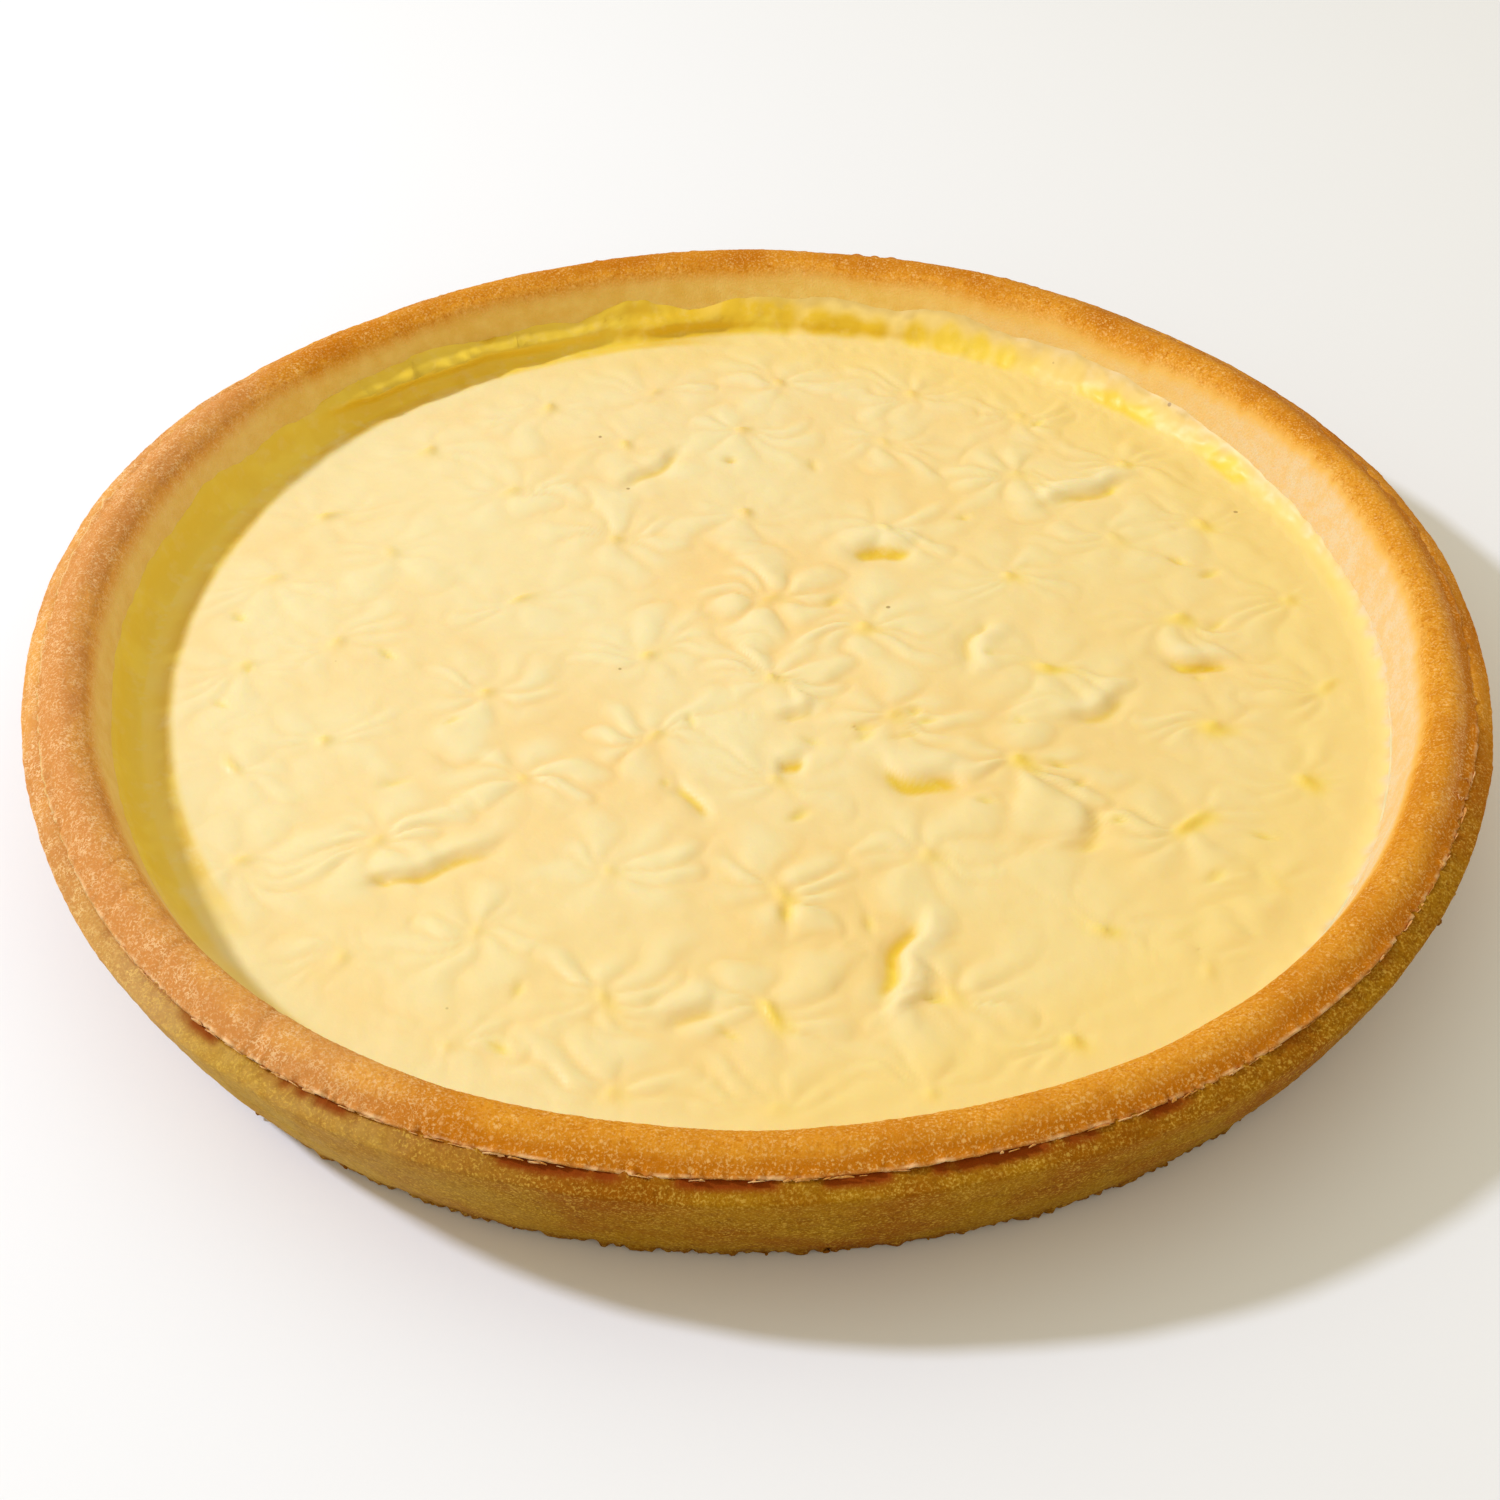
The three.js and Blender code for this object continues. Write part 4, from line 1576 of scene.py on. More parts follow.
@dataclass(frozen=True)
class Piping:
    """The piped pattern: rings of rosettes, each a peak with petals round it; in millimetres."""

    centre: Point = (3.3, -5.9)
    rings: tuple[RosetteRing, ...] = (
        RosetteRing(0.0, 1, 0.0),
        RosetteRing(26.0, 6, 34.0),
        RosetteRing(56.3, 12, 2.5),
        RosetteRing(86.1, 18, 11.5),
        RosetteRing(106.5, 24, -1.0),
    )
    shift: float = 1.4
    seed: int = 5
    near_count: int = 3
    petals_from: int = 8
    petals_below: int = 11
    petal_vigour: Span = Span(0.32, 1.05)
    rosette_vigour: Span = Span(0.75, 1.0)
    petal_reach: Span = Span(14.0, 21.0)
    petal_height: float = 0.95
    petal_start: Fade = Fade(0.5, 6.5)
    petal_end: Fade = Fade(1.5, -8.0)
    petal_round: float = 0.15
    petal_crown: float = 1.8
    petal_uneven: float = 0.22
    petal_bend: float = 2.0
    sway_x: Sway = Sway(5.3, 7.1, 0.7, 2.4, 3.7)
    sway_y: Sway = Sway(4.9, 6.3, 0.9, 2.2, -3.9)
    tuck_depth: float = 0.3
    tuck_in: float = 0.6
    tuck_width: float = 0.8
    tuck_vigour: Fade = Fade(0.6, 0.8)
    peak_sizes: Span = Span(0.5, 1.1)
    peak_height: float = 0.95
    peak_radius: float = 1.4
    melt_lengths: Triple = (17.0, 15.0, 11.0)
    melt_starts: Point = (1.3, 0.4)
    melt_slant: float = 0.6
    melt_mean: float = 0.8
    melt_share: float = 0.34
    flat_back: float = 0.55
    flat_fade: Fade = Fade(5.0, 105.0)
    flat_share: float = 0.6
    # Painted shade in peach: in the grooves between the petals and in the tucks at their tips.
    groove_least: float = 0.08
    groove_share: float = 0.7
    groove_fade: Fade = Fade(0.6, 0.05)
    groove_tuck: float = 0.3
    # Painted shadow: a golden blot a little right of and in front of each peak, stronger towards the right
    # and the front.
    peak_shadow_radius: float = 2.9
    peak_shadow_shift: float = 0.8
    peak_shadow_squeeze: float = 1.5
    peak_shadow_peaks: Span = Span(0.35, 1.1)
    peak_shadow_side: Span = Span(0.15, 1.0)
    peak_shadow_back: float = 0.7
    peak_shadow_fade: Fade = Fade(-40.0, 60.0)
    peak_shadow_gold: float = 0.8
    peak_gold: float = 0.5

    def rosettes(self) -> Numbers:
        """Middles of all the rosettes, each a little off its even place.

        Returns:
            The middles, one a row.
        """
        middles = []
        for ring in self.rings:
            for k in range(ring.count):
                angle = math.radians(ring.start_deg + 360.0 * k / ring.count)
                seed = 2 * len(middles)
                x = self.centre[0] + ring.radius * math.cos(angle) + self.shift * scatter(seed)
                y = self.centre[1] + ring.radius * math.sin(angle) + self.shift * scatter(seed + 1)
                middles.append((x, y))
        return np.array(middles, float)

    def relief(self, x: Numbers, y: Numbers) -> tuple[Numbers, Numbers, Numbers]:
        """Relief of the piped rosettes.

        Args:
            x: places across the tart, in millimetres.
            y: places along it.

        Returns:
            The height of peaks, petals and furrows, how far each place lies in the grooves and tucks of the
            petals, shown in peach as painted shade, and how golden it is by a peak, with a painted shadow
            beside it, 0 to 1.
        """
        middles = self.rosettes()
        count, slots = len(middles), self.petals_below
        random = np.random.default_rng(self.seed)
        petals = random.integers(self.petals_from, self.petals_below, count)
        starts = random.uniform(0.0, TURN, count)
        vigour = random.uniform(*self.petal_vigour, (count, slots))
        vigour = vigour * random.uniform(*self.rosette_vigour, (count, 1))
        reach = random.uniform(*self.petal_reach, (count, slots))
        peaks = random.uniform(*self.peak_sizes, count)
        bent_x = x + self.petal_bend * self.sway_x.at(y, x)
        bent_y = y + self.petal_bend * self.sway_y.at(x, y)
        off_x, off_y = bent_x[:, None] - middles[:, 0], bent_y[:, None] - middles[:, 1]
        away = np.hypot(off_x, off_y)
        cover, tuck = np.zeros(len(x)), np.zeros(len(x))
        for rosette in np.argpartition(away, self.near_count, axis=1)[:, : self.near_count].T:
            near = np.take_along_axis(away, rosette[:, None], axis=1)[:, 0]
            turn = np.arctan2(bent_y - middles[rosette, 1], bent_x - middles[rosette, 0]) - starts[rosette]
            turn = turn + self.petal_uneven * np.sin(2.0 * (turn + starts[rosette]))
            place = np.mod(turn / TURN, 1.0) * petals[rosette]
            petal = np.floor(place).astype(int)
            aside = np.abs(2.0 * (place - petal) - 1.0)
            strength = vigour[rosette, petal]
            end = reach[rosette, petal] * (1.0 - self.petal_round * aside**2)
            along = self.petal_start.at(near) * self.petal_end.at(near - end)
            cover = np.maximum(cover, strength * along * (1.0 - aside**self.petal_crown))
            line = np.exp(-(((near - end + self.tuck_in) / self.tuck_width) ** 2)) * (1.0 - aside**2)
            tuck = np.maximum(tuck, line * self.tuck_vigour.at(strength))
        lively = self.lively(x, y)
        peak = (peaks * np.exp(-((away / self.peak_radius) ** 2))).max(axis=1)
        furrow = self.groove_share * self.groove_fade.at(cover) + self.groove_tuck * tuck
        groove_shade = np.clip(self.groove_least + lively * furrow, 0.0, 1.0)
        # Painted shadow beside each peak, away from the light.
        off = np.hypot(off_x - self.peak_shadow_shift, self.peak_shadow_squeeze * (off_y + self.peak_shadow_shift))
        least, most = self.peak_shadow_peaks
        peak_shadow = ((peaks - least) / (most - least) * np.exp(-((off / self.peak_shadow_radius) ** 2))).max(axis=1)
        lit = self.peak_shadow_side.at(self.peak_shadow_fade.at(x - self.peak_shadow_back * y))
        gold = np.maximum(self.peak_gold * peak, self.peak_shadow_gold * lit * peak_shadow)
        height = lively * (self.petal_height * cover - self.tuck_depth * tuck)
        return height + self.peak_height * peak, groove_shade, gold

    def lively(self, x: Numbers, y: Numbers) -> Numbers:
        """How much of the pattern is left: less on the left behind, and in patches that melted.

        Args:
            x: places across the tart, in millimetres.
            y: places along it.

        Returns:
            The share of the pattern at each place.
        """
        first, second, third = self.melt_lengths
        melted = np.sin(x / first + self.melt_starts[0]) * np.sin(y / second + self.melt_starts[1])
        melted = melted + self.melt_slant * np.sin((x + y) / third)
        flat = self.flat_share * self.flat_fade.at(self.flat_back * y - x)
        return (1.0 - flat) * (self.melt_mean + self.melt_share * melted)


@dataclass(frozen=True)
class Pits:
    """Small pits scattered over the right and the front of the custard; in millimetres."""

    count: int = 55
    seed: int = 12
    within: float = 108.0
    half_lengths: Span = Span(1.0, 2.3)
    half_widths: Span = Span(0.7, 1.1)
    depths: Span = Span(0.45, 0.95)
    kept: Span = Span(0.25, 1.0)
    kept_back: float = 0.6
    kept_fade: Fade = Fade(-70.0, 40.0)

    def depth(self, x: Numbers, y: Numbers) -> Numbers:
        """Depth of the pits.

        Args:
            x: places across the tart, in millimetres.
            y: places along it.

        Returns:
            The depth at each place, in millimetres.
        """
        random = np.random.default_rng(self.seed)
        depth = np.zeros(len(x))
        for _ in range(self.count):
            radius, angle = self.within * math.sqrt(random.uniform(0.0, 1.0)), random.uniform(0.0, TURN)
            middle_x, middle_y = radius * math.cos(angle), radius * math.sin(angle)
            long, wide = random.uniform(*self.half_lengths), random.uniform(*self.half_widths)
            tilt, deep = random.uniform(0.0, TURN), random.uniform(*self.depths)
            kept = self.kept.at(self.kept_fade.at(middle_x - self.kept_back * middle_y))
            if random.uniform(0.0, 1.0) > float(kept):
                continue
            along = (x - middle_x) * math.cos(tilt) + (y - middle_y) * math.sin(tilt)
            across = (y - middle_y) * math.cos(tilt) - (x - middle_x) * math.sin(tilt)
            depth = np.maximum(depth, deep * np.exp(-((along / long) ** 2) - (across / wide) ** 2))
        return depth


@dataclass(frozen=True)
class Tear:
    """A torn pit in the custard: middle, half length, half width, turn, depth and height of its lip."""

    x: float
    y: float
    length: float
    width: float
    turn_deg: float
    depth: float
    lip: float
    bow: float = 0.6
    wobble: float = 0.4
    wobble_length: float = 2.0
    gentle_side: float = 1.4
    flap_rise: Fade = Fade(0.2, 2.0)
    flap_fall: Fade = Fade(5.0, 2.2)
    flap_length: float = 1.15

    def across(self, x: Numbers, y: Numbers) -> tuple[Numbers, Numbers]:
        """Distances of points from the tear's middle.

        Args:
            x: places across the tart, in millimetres.
            y: places along it.

        Returns:
            The distances along and across the curved line of the tear.
        """
        turn = math.radians(self.turn_deg)
        along = (x - self.x) * math.cos(turn) + (y - self.y) * math.sin(turn)
        across = (y - self.y) * math.cos(turn) - (x - self.x) * math.sin(turn)
        wobble = self.wobble * np.sin(along / self.wobble_length + self.x)
        return along, across - self.width * (self.bow * (along / self.length) ** 2 + wobble)

    def pit(self, x: Numbers, y: Numbers) -> Numbers:
        """Depth of the crease, steep under the flap and gentle on its other side.

        Args:
            x: places across the tart, in millimetres.
            y: places along it.

        Returns:
            The depth at each place, in millimetres.
        """
        along, across = self.across(x, y)
        wide = np.where(across > 0.0, 1.0, self.gentle_side) * self.width
        return self.depth * np.exp(-((across / wide) ** 2)) * np.exp(-((along / self.length) ** 4))

    def raised(self, x: Numbers, y: Numbers) -> Numbers:
        """Height of the flap beside the crease.

        Args:
            x: places across the tart, in millimetres.
            y: places along it.

        Returns:
            The height at each place, in millimetres.
        """
        along, across = self.across(x, y)
        beyond = across / self.width
        flap = self.flap_rise.at(beyond) * self.flap_fall.at(beyond)
        return self.lip * flap * np.exp(-((along / (self.flap_length * self.length)) ** 4))


@dataclass(frozen=True)
class FilmStain:
    """A golden stain on the film: where it is round the tart and how high, and its half sizes."""

    turn_deg: float
    z: float
    half_turn_deg: float
    half_height: float
    rag: RingNoise = RingNoise(30, 120, 99, 0.16)
    fade: Fade = Fade(1.4, 0.2)

    def strength(self, angle: Numbers, z: Numbers) -> Numbers:
        """How golden the film is because of this stain.

        Args:
            angle: angles round the axis, in radians.
            z: heights on the film, in millimetres.

        Returns:
            The share of gold at each place, 0 to 1.
        """
        turn = np.mod(np.degrees(angle) - self.turn_deg + 180.0, 360.0) - 180.0
        away = np.hypot(turn / self.half_turn_deg, (z - self.z) / self.half_height)
        return self.fade.at(away + self.rag.at(angle))


@dataclass(frozen=True)
class WallFilm:
    """The thin film that the custard left on the wall: edge, loose ledge and stains, with gold that is
    partly painted shade; in millimetres.
    """

    edge_z: float = 20.3
    edge: tuple[RoundTart, ...] = (
        Wave(1, 3.4, 127.6),
        Wave(9, 0.25, 10.0),
        Wave(14, 0.25, 0.0),
        RingNoise(10, 34, 91, 0.2),
        RingNoise(40, 180, 92, 0.15),
        Stretch(88.5, 2.5, 4.5, 0.6),
        Stretch(98.0, 2.0, 4.0, -1.3),
        Stretch(58.0, 16.0, 22.0, 2.5),
    )
    ragged: Stretch = Stretch(112.0, 28.0, 30.0)
    rag: RingNoise = RingNoise(10, 34, 91, 0.7)
    thickness: float = 0.45
    thick: Stretch = Stretch(135.0, 65.0, 25.0)
    thick_share: Span = Span(0.25, 1.0)
    sink: float = 0.9
    sink_fade: Fade = Fade(0.82, 1.0)
    # Angle in degrees, height and reach of points along the ledge where the film came loose.
    ledge_line: tuple[Triple, ...] = (
        (92.0, 19.4, 0.0),
        (97.0, 19.3, 2.3),
        (101.0, 19.2, 2.2),
        (106.0, 19.2, 1.2),
        (112.0, 19.3, 2.6),
        (117.0, 20.0, 3.2),
        (121.0, 20.7, 3.6),
        (130.0, 21.3, 4.0),
        (136.0, 21.6, 3.4),
        (141.0, 21.8, 0.0),
    )
    ledge_reach_noise: RingNoise = RingNoise(20, 90, 93, 0.08)
    ledge_edge_noise: RingNoise = RingNoise(12, 60, 94, 0.15)
    ledge_rise: Fade = Fade(-4.2, 0.0)
    ledge_fall: Fade = Fade(0.9, 0.1)
    bulge: Stretch = Stretch(84.0, 8.0, 8.0, 1.1)
    bulge_rise: Fade = Fade(16.0, 18.5)
    bulge_fall: Fade = Fade(22.0, 19.5)
    # Painted shade: gold all over the film on the left, where the wall faces away from the light.
    golden: tuple[RoundTart, ...] = (Stretch(153.0, 52.0, 22.0, 0.95), RingNoise(12, 90, 95, 0.06))
    gold_limits: Span = Span(0.05, 1.0)
    # Golden stains; those behind, round 80 to 97 degrees, are partly painted shade.
    stains: tuple[FilmStain, ...] = (
        FilmStain(97.0, 17.4, 7.0, 2.6),
        FilmStain(89.5, 19.0, 6.5, 5.5),
        FilmStain(80.5, 18.2, 7.0, 2.8),
        FilmStain(66.5, 17.8, 8.0, 3.2),
        FilmStain(47.0, 16.6, 5.5, 1.8),
        FilmStain(32.0, 17.0, 4.0, 2.0),
    )
    stain_gain: float = 1.3
    stain_most: float = 0.95

    def top(self, angle: Numbers) -> Numbers:
        """Height of the wavy upper edge at angles in radians, raggedest behind."""
        return self.edge_z + total(self.edge, angle) + self.ragged.at(angle) * self.rag.at(angle)

    def thickness_at(self, angle: Numbers) -> Numbers:
        """Thickness at angles in radians."""
        return self.thickness * self.thick_share.at(self.thick.at(angle))

    def ledge(self, angle: Numbers, z: Numbers) -> Numbers:
        """How far the film stands off the wall where it came loose.

        Args:
            angle: angles round the axis, in radians.
            z: heights on the film, in millimetres.

        Returns:
            Distances from the wall, in millimetres.
        """
        turn = np.mod(np.degrees(angle), 360.0)
        at, heights, reaches = np.array(self.ledge_line).T
        reach = np.interp(turn, at, reaches) * (1.0 + self.ledge_reach_noise.at(angle))
        above = z - np.interp(turn, at, heights) - self.ledge_edge_noise.at(angle)
        ledge = self.ledge_rise.at(above) * self.ledge_fall.at(above)
        bulge = self.bulge_rise.at(z) * self.bulge_fall.at(z)
        return reach * ledge + self.bulge.at(angle) * bulge

    def gold(self, angle: Numbers, z: Numbers) -> Numbers:
        """How golden the film is: all over on the left, as painted shade, and in stains behind and on the
        right, those behind partly painted shade.

        Args:
            angle: angles round the axis, in radians.
            z: heights on the film, in millimetres.

        Returns:
            The share of gold at each place, 0 to 1.
        """
        gold = total(self.golden, angle)
        for stain in self.stains:
            strength = self.stain_gain * stain.strength(angle, z)
            gold = np.maximum(gold, np.minimum(strength, self.stain_most))
        return np.clip(gold, *self.gold_limits)


@dataclass
class CustardTop:
    """What each corner of the custard has: place in millimetres, share of the film, and forms."""

    angle: Numbers
    share: Numbers
    shown: Numbers
    radius: Numbers
    x: Numbers
    y: Numbers
    z: Numbers
    inside: Numbers
    # Painted shade in the grooves; gold at the peaks with a painted shadow beside each.
    groove_shade: Numbers
    stain: Numbers
    pit: Numbers
    torn: Numbers
    raised: Numbers


@dataclass(frozen=True)
class CustardTones:
    """Where the custard is peach, deeper yellow, golden, amber or thin; radii and relief in millimetres. The
    peach in grooves, the gold and amber in pits, tears and shade, the shadow line on the film and the deeper
    yellow to the right are painted shade and light falloff, and the pale raised flaps a painted highlight.
    """

    flap_height: float = 0.6
    # Painted shade: gold in the pits and the tears.
    pit_gold: float = 0.7
    tear_gold: float = 0.9
    tear_gold_fade: Fade = Fade(0.45, 1.2)
    gold_most: float = 0.95
    # Painted shadow: gold on the flat custard out to the edge of the shadow that the rim on the left casts.
    shade_radius: float = 114.0
    shade_out: Stretch = Stretch(122.0, 18.0, 22.0, 3.0)
    shade: Stretch = Stretch(158.0, 55.0, 14.0, 0.85)
    shade_fade: Fade = Fade(-1.2, 1.2)
    film_gold_fade: Fade = Fade(0.0, 0.3)
    # Painted light falloff: deeper yellow on the right, in front and along the lit edge.
    rich_right: float = 0.55
    rich_right_fade: Fade = Fade(-30.0, 110.0)
    rich_front: float = 0.3
    rich_front_fade: Fade = Fade(20.0, 100.0)
    rich_edge: float = 0.55
    rich_edge_fade: Fade = Fade(97.0, 113.0)
    rich_not_left: Stretch = Stretch(190.0, 60.0, 30.0)
    rich_most: float = 0.9
    rich_on_flap: Span = Span(1.0, 0.25)
    butter: Stretch = Stretch(125.0, 112.0, 15.0)
    butter_fade: Fade = Fade(0.05, 0.4)
    thick: Stretch = Stretch(152.0, 77.0, 20.0)
    thicker: Stretch = Stretch(50.0, 32.0, 14.0, 0.5)
    thin_noise: RingNoise = RingNoise(30, 160, 96, 0.08)
    thin_fade: Fade = Fade(0.45, 0.97)
    # Painted shade in amber: behind, along the edge of the rim's shadow, on the film on the left and in the
    # tears.
    amber: tuple[Stretch, ...] = (Stretch(112.0, 35.0, 18.0, 0.3), Stretch(88.0, 12.0, 10.0, 0.6))
    amber_shade: Stretch = Stretch(175.0, 45.0, 20.0)
    amber_shade_rise: Fade = Fade(-1.0, 0.5)
    amber_shade_fall: Fade = Fade(4.5, 1.0)
    amber_film: Stretch = Stretch(178.0, 45.0, 20.0, 0.4)
    amber_tear_fade: Fade = Fade(0.2, 0.6)
    # Painted shadow line near the top edge of the film, behind towards the right.
    crease: Stretch = Stretch(62.0, 22.0, 9.0, 0.6)
    crease_noise: RingNoise = RingNoise(40, 200, 97, 0.02)
    crease_fade: Fade = Fade(0.79, 0.86)
    soft_fade: Fade = Fade(0.5, 0.1)

    def marks(self, top: CustardTop, film: WallFilm) -> dict[str, Numbers]:
        """Works out the marks of the custard.

        Args:
            top: the places and forms of its corners.
            film: the film on the wall.

        Returns:
            For each mark, one number for each corner.
        """
        angle, share, inside = top.angle, top.share, top.inside
        # Painted highlight: raised flaps lose their peach and deeper yellow and stay pale.
        flap = np.clip(top.raised / self.flap_height, 0.0, 1.0)
        past_shade = top.radius - self.shade_radius - self.shade_out.at(angle)
        on_film = self.film_gold_fade.at(share)
        # Painted shadow of the rim on the flat custard on the left.
        in_cast_shadow = self.shade.at(angle) * self.shade_fade.at(past_shade) * (1.0 - share)
        # Gold: painted shade in pits, tears, beside the peaks, in the rim's shadow and on the shaded film;
        # real gold at the peaks and in the film's stains.
        tears = self.tear_gold * self.tear_gold_fade.at(top.torn)
        golden = (self.pit_gold * top.pit + tears + top.stain) * inside
        golden = golden + film.gold(angle, top.z) * (in_cast_shadow + on_film)
        thin = self.thin_fade.at(share + self.thin_noise.at(angle))
        # Painted shadow line just below the film's top edge.
        crease = self.crease_fade.at(share + self.crease_noise.at(angle))
        # Painted shade: amber along the edge of the rim's shadow.
        by_shade = self.amber_shade_rise.at(past_shade)
        by_shade = by_shade * self.amber_shade_fall.at(past_shade)
        amber = np.maximum(total(self.amber, angle), by_shade * self.amber_shade.at(angle))
        amber = np.maximum(amber, self.amber_film.at(angle) * on_film)
        amber = np.maximum(amber, inside * self.amber_tear_fade.at(top.torn))
        marks = {
            # Painted shade in the grooves, left off the flaps.
            "groove_shade": top.groove_shade * (1.0 - flap) * inside,
            "golden": np.clip(golden, 0.0, self.gold_most),
            "falloff_yellow": self.falloff_yellow(top) * self.rich_on_flap.at(flap * inside),
            "film": self.butter.at(angle) * self.butter_fade.at(share),
            "thin": thin * (1.0 - self.thick.at(angle)) * (1.0 - self.thicker.at(angle)),
            "amber": amber,
            "crease": self.crease.at(angle) * crease,
            "soft": self.soft_fade.at(share),
        }
        return {name: values * top.shown for name, values in marks.items()}

    def falloff_yellow(self, top: CustardTop) -> Numbers:
        """How deep the yellow is, as painted light falloff: most on the right and in front, away from the
        light, and along the lit edge.

        Args:
            top: the places and forms of the corners.

        Returns:
            The share of rich yellow at each corner.
        """
        edge = self.rich_edge_fade.at(top.radius) * (1.0 - self.rich_not_left.at(top.angle))
        right = self.rich_right * self.rich_right_fade.at(top.x)
        front = self.rich_front * self.rich_front_fade.at(-top.y)
        return np.clip(right + self.rich_edge * edge + front, 0.0, self.rich_most)


def square_to_circle(u: Numbers, v: Numbers) -> Numbers:
    """Angle round a disc for each place on a square, so that its square rings become circles.

    Args:
        u: places across the square, from -1 to 1.
        v: places along it.

    Returns:
        Angles in radians.
    """
    wide = np.abs(u) >= np.abs(v)
    safe_u, safe_v = np.where(u == 0.0, 1.0, u), np.where(v == 0.0, 1.0, v)
    beside = math.pi / 4.0 * v / safe_u + np.where(u < 0.0, math.pi, 0.0)
    ahead = math.pi / 2.0 - math.pi / 4.0 * u / safe_v + np.where(v < 0.0, math.pi, 0.0)
    return np.where(wide, beside, ahead)


@dataclass
class CustardFilling:
    """The custard: piped rosettes, tears, and the thin film that it left on the wall; in millimetres."""

    shape: TartShape
    piping: Piping = Piping()
    pits: Pits = Pits()
    film: WallFilm = WallFilm()
    tones: CustardTones = CustardTones()
    gap: float = 0.3
    level_z: float = 15.5
    flat_radius: float = 119.0
    flat_share: float = 0.895
    bend_wall_rise: float = 0.3
    bend_clear: float = 0.5
    bend_rise: float = 0.2
    edge_drop: float = 0.6
    side_clear_z: float = 17.0
    pattern_fade: Fade = Fade(118.0, 110.0)
    swell_height: float = 0.35
    swell_lengths: Triple = (19.0, 23.0, 31.0)
    tears: tuple[Tear, ...] = (
        Tear(27.0, 35.5, 6.5, 2.2, 2.0, 1.4, 1.0),
        Tear(31.0, -35.0, 8.0, 2.2, -12.0, 1.3, 0.8),
        Tear(-11.5, -39.5, 6.0, 1.4, -58.0, 1.0, 0.2),
        Tear(7.2, -30.6, 2.6, 1.9, 0.0, 1.2, 0.2),
        Tear(-57.0, -57.5, 12.0, 1.5, 24.0, 1.0, 0.5),
        Tear(-21.0, 65.5, 10.0, 1.5, 49.0, 0.9, 0.2),
        Tear(24.5, -79.0, 11.0, 1.6, 252.0, 1.2, 1.0),
        Tear(68.0, -14.5, 7.0, 1.5, 35.0, 0.9, 0.6),
        Tear(43.0, 5.5, 7.0, 1.5, 251.0, 0.8, 0.7),
        Tear(88.0, -0.6, 6.5, 1.6, -10.0, 1.2, 0.6),
        Tear(73.0, 56.0, 11.0, 1.5, 24.0, 0.9, 0.8),
        Tear(62.0, -47.0, 6.0, 1.5, 62.0, 0.8, 0.4),
        Tear(-10.0, -93.0, 5.0, 1.5, 36.0, 0.8, 0.4),
        Tear(9.0, -16.0, 4.0, 1.3, 30.0, 0.8, 0.5),
    )
    cells: int = 304
    side_rows: int = 4
    ripples: Grain = Grain(GrainBasis.FLOWING, 9.0, 0.75, 2)
    ripples_on_film: float = -0.45
    ripples_behind: Stretch = Stretch(82.0, 58.0, 20.0, 1.1)
    ripples_rise: Fade = Fade(0.0, 0.4)
    ripples_fall: Fade = Fade(0.95, 0.75)
    dimples: Grain = Grain(GrainBasis.FLOWING, 3.4, 0.22, 1)
    dimples_fade: Fade = Fade(0.9, 0.6)
    rough: Stretch = Stretch(56.0, 30.0, 16.0, 2.4)
    rough_from: Fade = Fade(111.0, 117.0)
    rough_fade: Fade = Fade(0.9, 0.7)

    def blank(self) -> Piece:
        """Makes a grid with rows pulled down from its edge and closed below.

        Returns:
            The blank, two units across, with each row one unit below the last.
        """
        bpy.ops.object.select_all(action="DESELECT")
        bpy.ops.mesh.primitive_grid_add(x_subdivisions=self.cells, y_subdivisions=self.cells, size=2.0)
        piece = bpy.context.active_object
        name_piece(piece, "custard_filling")
        bpy.ops.object.mode_set(mode="EDIT")
        bpy.ops.mesh.select_mode(type="EDGE")
        bpy.ops.mesh.select_all(action="SELECT")
        bpy.ops.mesh.region_to_loop()
        for _ in range(self.side_rows + 1):
            bpy.ops.mesh.extrude_region_move(TRANSFORM_OT_translate={"value": (0.0, 0.0, -1.0)})
        bpy.ops.mesh.merge(type="CENTER")
        bpy.ops.mesh.select_all(action="SELECT")
        bpy.ops.mesh.normals_make_consistent(inside=False)
        bpy.ops.object.mode_set(mode="OBJECT")
        bpy.ops.object.shade_smooth()
        return piece

    def build(self) -> Piece:
        """Pipes, tears and ripples the custard, and dresses it.

        Returns:
            The finished piece.
        """
        piece = self.blank()
        across, along, below = corners(piece).T
        row = np.rint(-below).astype(int)
        ring = np.maximum(np.abs(across), np.abs(along))
        angle = square_to_circle(across, along)
        share = np.clip((ring - self.flat_share) / (1.0 - self.flat_share), 0.0, 1.0)
        radius, z = self.climb(angle, share)
        radius = radius * np.minimum(ring / self.flat_share, 1.0)
        x, y = radius * np.cos(angle), radius * np.sin(angle)
        inside = self.pattern_fade.at(radius)
        # stain holds the gold at the peaks and the painted shadow beside each.
        piped, groove_shade, stain = self.piping.relief(x, y)
        pit = self.pits.depth(x, y)
        torn = sum(tear.pit(x, y) for tear in self.tears)
        raised = sum(tear.raised(x, y) for tear in self.tears)
        z = z + inside * (piped - pit - torn + raised + self.swell(x, y))
        radius = radius - np.where(share > 0.0, self.film.ledge(angle, z), 0.0)
        radius, z = self.side(row, angle, radius, z)
        set_corners(piece, self.shape.uneven(radius, angle, z))
        shown = np.where(row == 0, 1.0, 0.0)
        top = CustardTop(angle, share, shown, radius, x, y, z, inside, groove_shade, stain, pit, torn, raised)
        self.roughen(piece, top)
        store(piece, **self.tones.marks(top, self.film))
        return dress(piece, CustardFinish().make(), "custard")

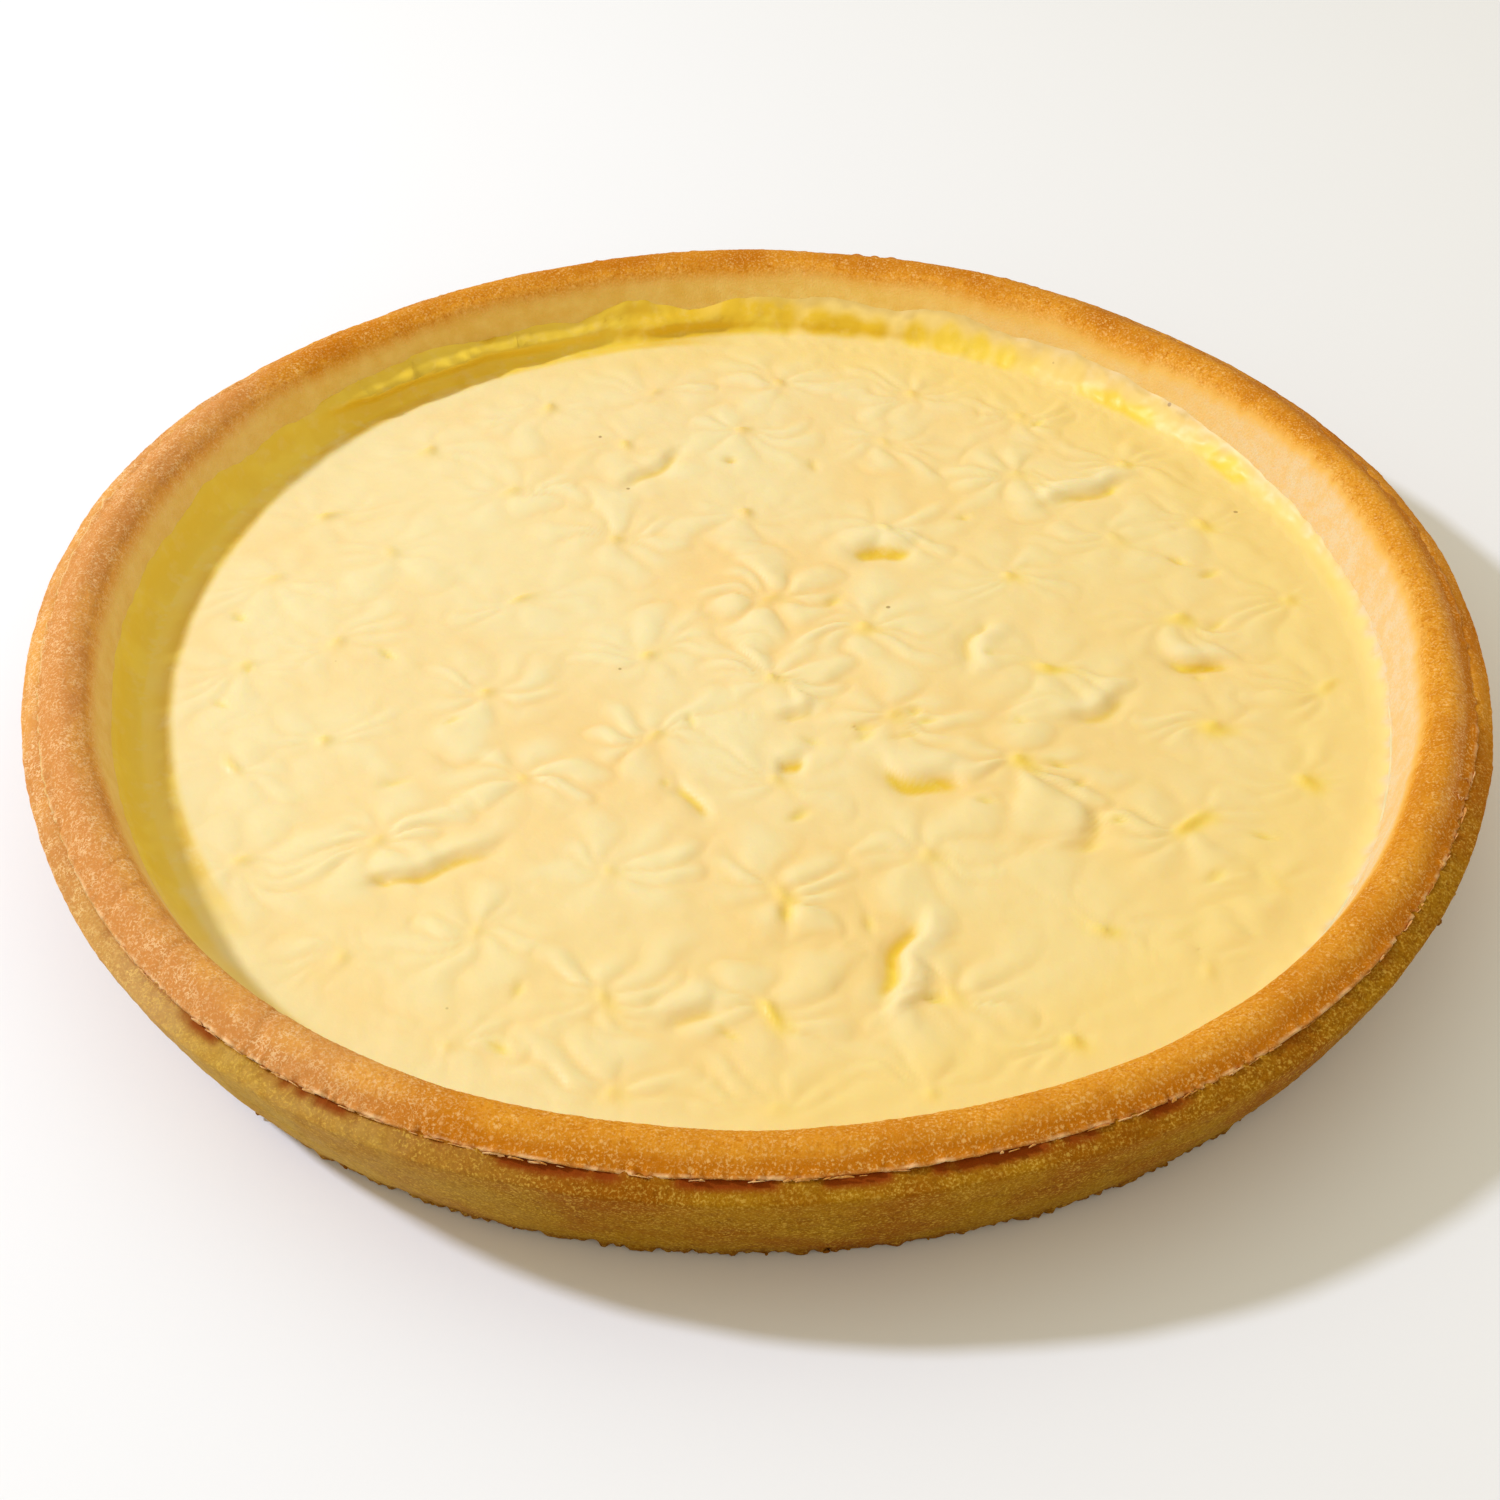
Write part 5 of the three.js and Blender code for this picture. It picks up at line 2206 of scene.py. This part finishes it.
    def climb(self, angle: Numbers, share: Numbers) -> tuple[Numbers, Numbers]:
        """Bends the custard from its flat top up the wall, as the film.

        Args:
            angle: angles round the axis, in radians.
            share: how far up the film each corner is, 0 on the flat.

        Returns:
            The radius and the height of each corner, with the whole flat at its edge.
        """
        top, thick = self.film.top(angle), self.film.thickness_at(angle)
        wall = self.shape.inside_radius(top) - thick
        bend_radius = self.shape.inside_radius(self.level_z + self.bend_wall_rise) - self.bend_clear
        start, middle, end = (1.0 - share) ** 2, 2.0 * share * (1.0 - share), share**2
        radius = start * self.flat_radius + middle * bend_radius + end * wall
        radius = radius + (thick + self.film.sink) * self.film.sink_fade.at(share)
        z = start * self.level_z + middle * (self.level_z + self.bend_rise) + end * top
        return radius, z

    def swell(self, x: Numbers, y: Numbers) -> Numbers:
        """Height of the slow waves of the whole top at places in millimetres."""
        first, second, third = self.swell_lengths
        return self.swell_height * (np.sin(x / first) * np.cos(y / second) + np.sin((x - y) / third) / 2.0)

    def side(self, row: Numbers, angle: Numbers, radius: Numbers, z: Numbers) -> tuple[Numbers, Numbers]:
        """Puts the rows below the edge of the film in place, against the wall and under the custard.

        Args:
            row: which row each corner belongs to, 0 on top.
            angle: angle of each corner, in radians.
            radius: radius of each corner so far.
            z: height of each corner so far.

        Returns:
            The radius and the height of each corner.
        """
        shape, top = self.shape, self.film.top(angle)
        places = (
            (shape.inside_radius(top) + self.film.sink, top - self.edge_drop),
            (shape.inside_radius(self.side_clear_z) - self.gap, self.side_clear_z),
            (shape.wall_foot_radius - self.gap, shape.wall_foot_z),
            (shape.floor_radius - self.gap, shape.floor_z + self.gap),
            (0.0, shape.floor_z + self.gap),
        )
        for k, (place_radius, place_z) in enumerate(places, start=1):
            radius = np.where(row == k, place_radius, radius)
            z = np.where(row == k, place_z, z)
        return radius, z

    def roughen(self, piece: Piece, top: CustardTop) -> None:
        """Ripples and dimples the top, and makes the film behind rougher.

        Args:
            piece: the custard with its corners in place.
            top: the places and forms of its corners.
        """
        on_film = self.ripples_rise.at(top.share) * self.ripples_fall.at(top.share)
        more = (self.ripples_behind.at(top.angle) + self.ripples_on_film) * on_film
        self.ripples.press(piece, top.shown * (1.0 + more))
        rough = self.rough.at(top.angle) * self.rough_from.at(top.radius)
        rough = rough * self.rough_fade.at(top.share)
        self.dimples.press(piece, top.shown * (self.dimples_fade.at(top.share) + rough))


@dataclass(frozen=True)
class Camera:
    """The photograph's camera: place in millimetres, tilt, lens and the shift that frames it."""

    place: Triple = (-0.06, -348.3, 309.8)
    down_deg: float = 42.41
    lens: float = 55.2
    sensor: float = 36.0
    shift_x: float = -0.00267
    near: float = 10.0

    def set_up(self) -> None:
        """Adds the camera and makes it the scene's own."""
        tilt = math.radians(90.0 - self.down_deg)
        bpy.ops.object.camera_add(location=[c * MM for c in self.place], rotation=(tilt, 0.0, 0.0))
        camera = bpy.context.active_object
        camera.name = "photo_camera"
        camera.data.lens = self.lens
        camera.data.sensor_width = self.sensor
        camera.data.shift_x = self.shift_x
        camera.data.clip_start = self.near * MM
        bpy.context.scene.camera = camera


@dataclass(frozen=True)
class Studio:
    """A white table, a soft light from the left and a weak even light all round; sizes in metres."""

    table_size: float = 6.0
    key_turn_deg: float = 172.0
    key_rise_deg: float = 42.0
    key_away: float = 1.3
    key_width: float = 0.12
    key_power: float = 11.0
    key_colour: Triple = (0.90, 0.98, 1.22)
    ambient: Colour = (1.0, 0.93, 0.74, 1.0)
    ambient_strength: float = 0.73

    def set_up(self) -> None:
        """Adds the table and the lights."""
        bpy.ops.object.select_all(action="DESELECT")
        bpy.ops.mesh.primitive_plane_add(size=self.table_size, location=(0.0, 0.0, 0.0))
        table = bpy.context.active_object
        table.name = "table"
        table.data.materials.append(FloorFinish().make())
        turn, rise = math.radians(self.key_turn_deg), math.radians(self.key_rise_deg)
        towards = (math.cos(rise) * math.cos(turn), math.cos(rise) * math.sin(turn), math.sin(rise))
        bpy.ops.object.light_add(
            type="AREA",
            location=[self.key_away * part for part in towards],
            rotation=(0.0, math.pi / 2.0 - rise, turn),
        )
        key = bpy.context.active_object
        key.name = "key_light"
        key.data.shape = "DISK"
        key.data.size = self.key_width
        key.data.energy = self.key_power
        key.data.color = self.key_colour
        world = bpy.data.worlds.new("even_light")
        world.use_nodes = True
        background = world.node_tree.nodes["Background"]
        background.inputs["Color"].default_value = self.ambient
        background.inputs["Strength"].default_value = self.ambient_strength
        bpy.context.scene.world = world
        bpy.context.scene.view_settings.view_transform = "Standard"


def main() -> None:
    """Builds the pieces in order, sets up the studio and reports each piece."""
    logging.basicConfig(level=logging.INFO, format="%(message)s")
    shape, seam, crust = TartShape(), Seam(), CrustFinish().make()
    parts = (
        DoughCase(shape, seam, crust),
        DoughRim(shape, seam, crust),
        SeamFlakes(shape, seam, crust),
        BaseCrumbs(shape, crust),
        CustardFilling(shape),
    )
    for part in parts:
        piece = part.build()
        piece.data.calc_loop_triangles()
        LOG.info("%s: %d triangles", piece.name, len(piece.data.loop_triangles))
    Studio().set_up()
    Camera().set_up()


if __name__ == "__main__":
    main()
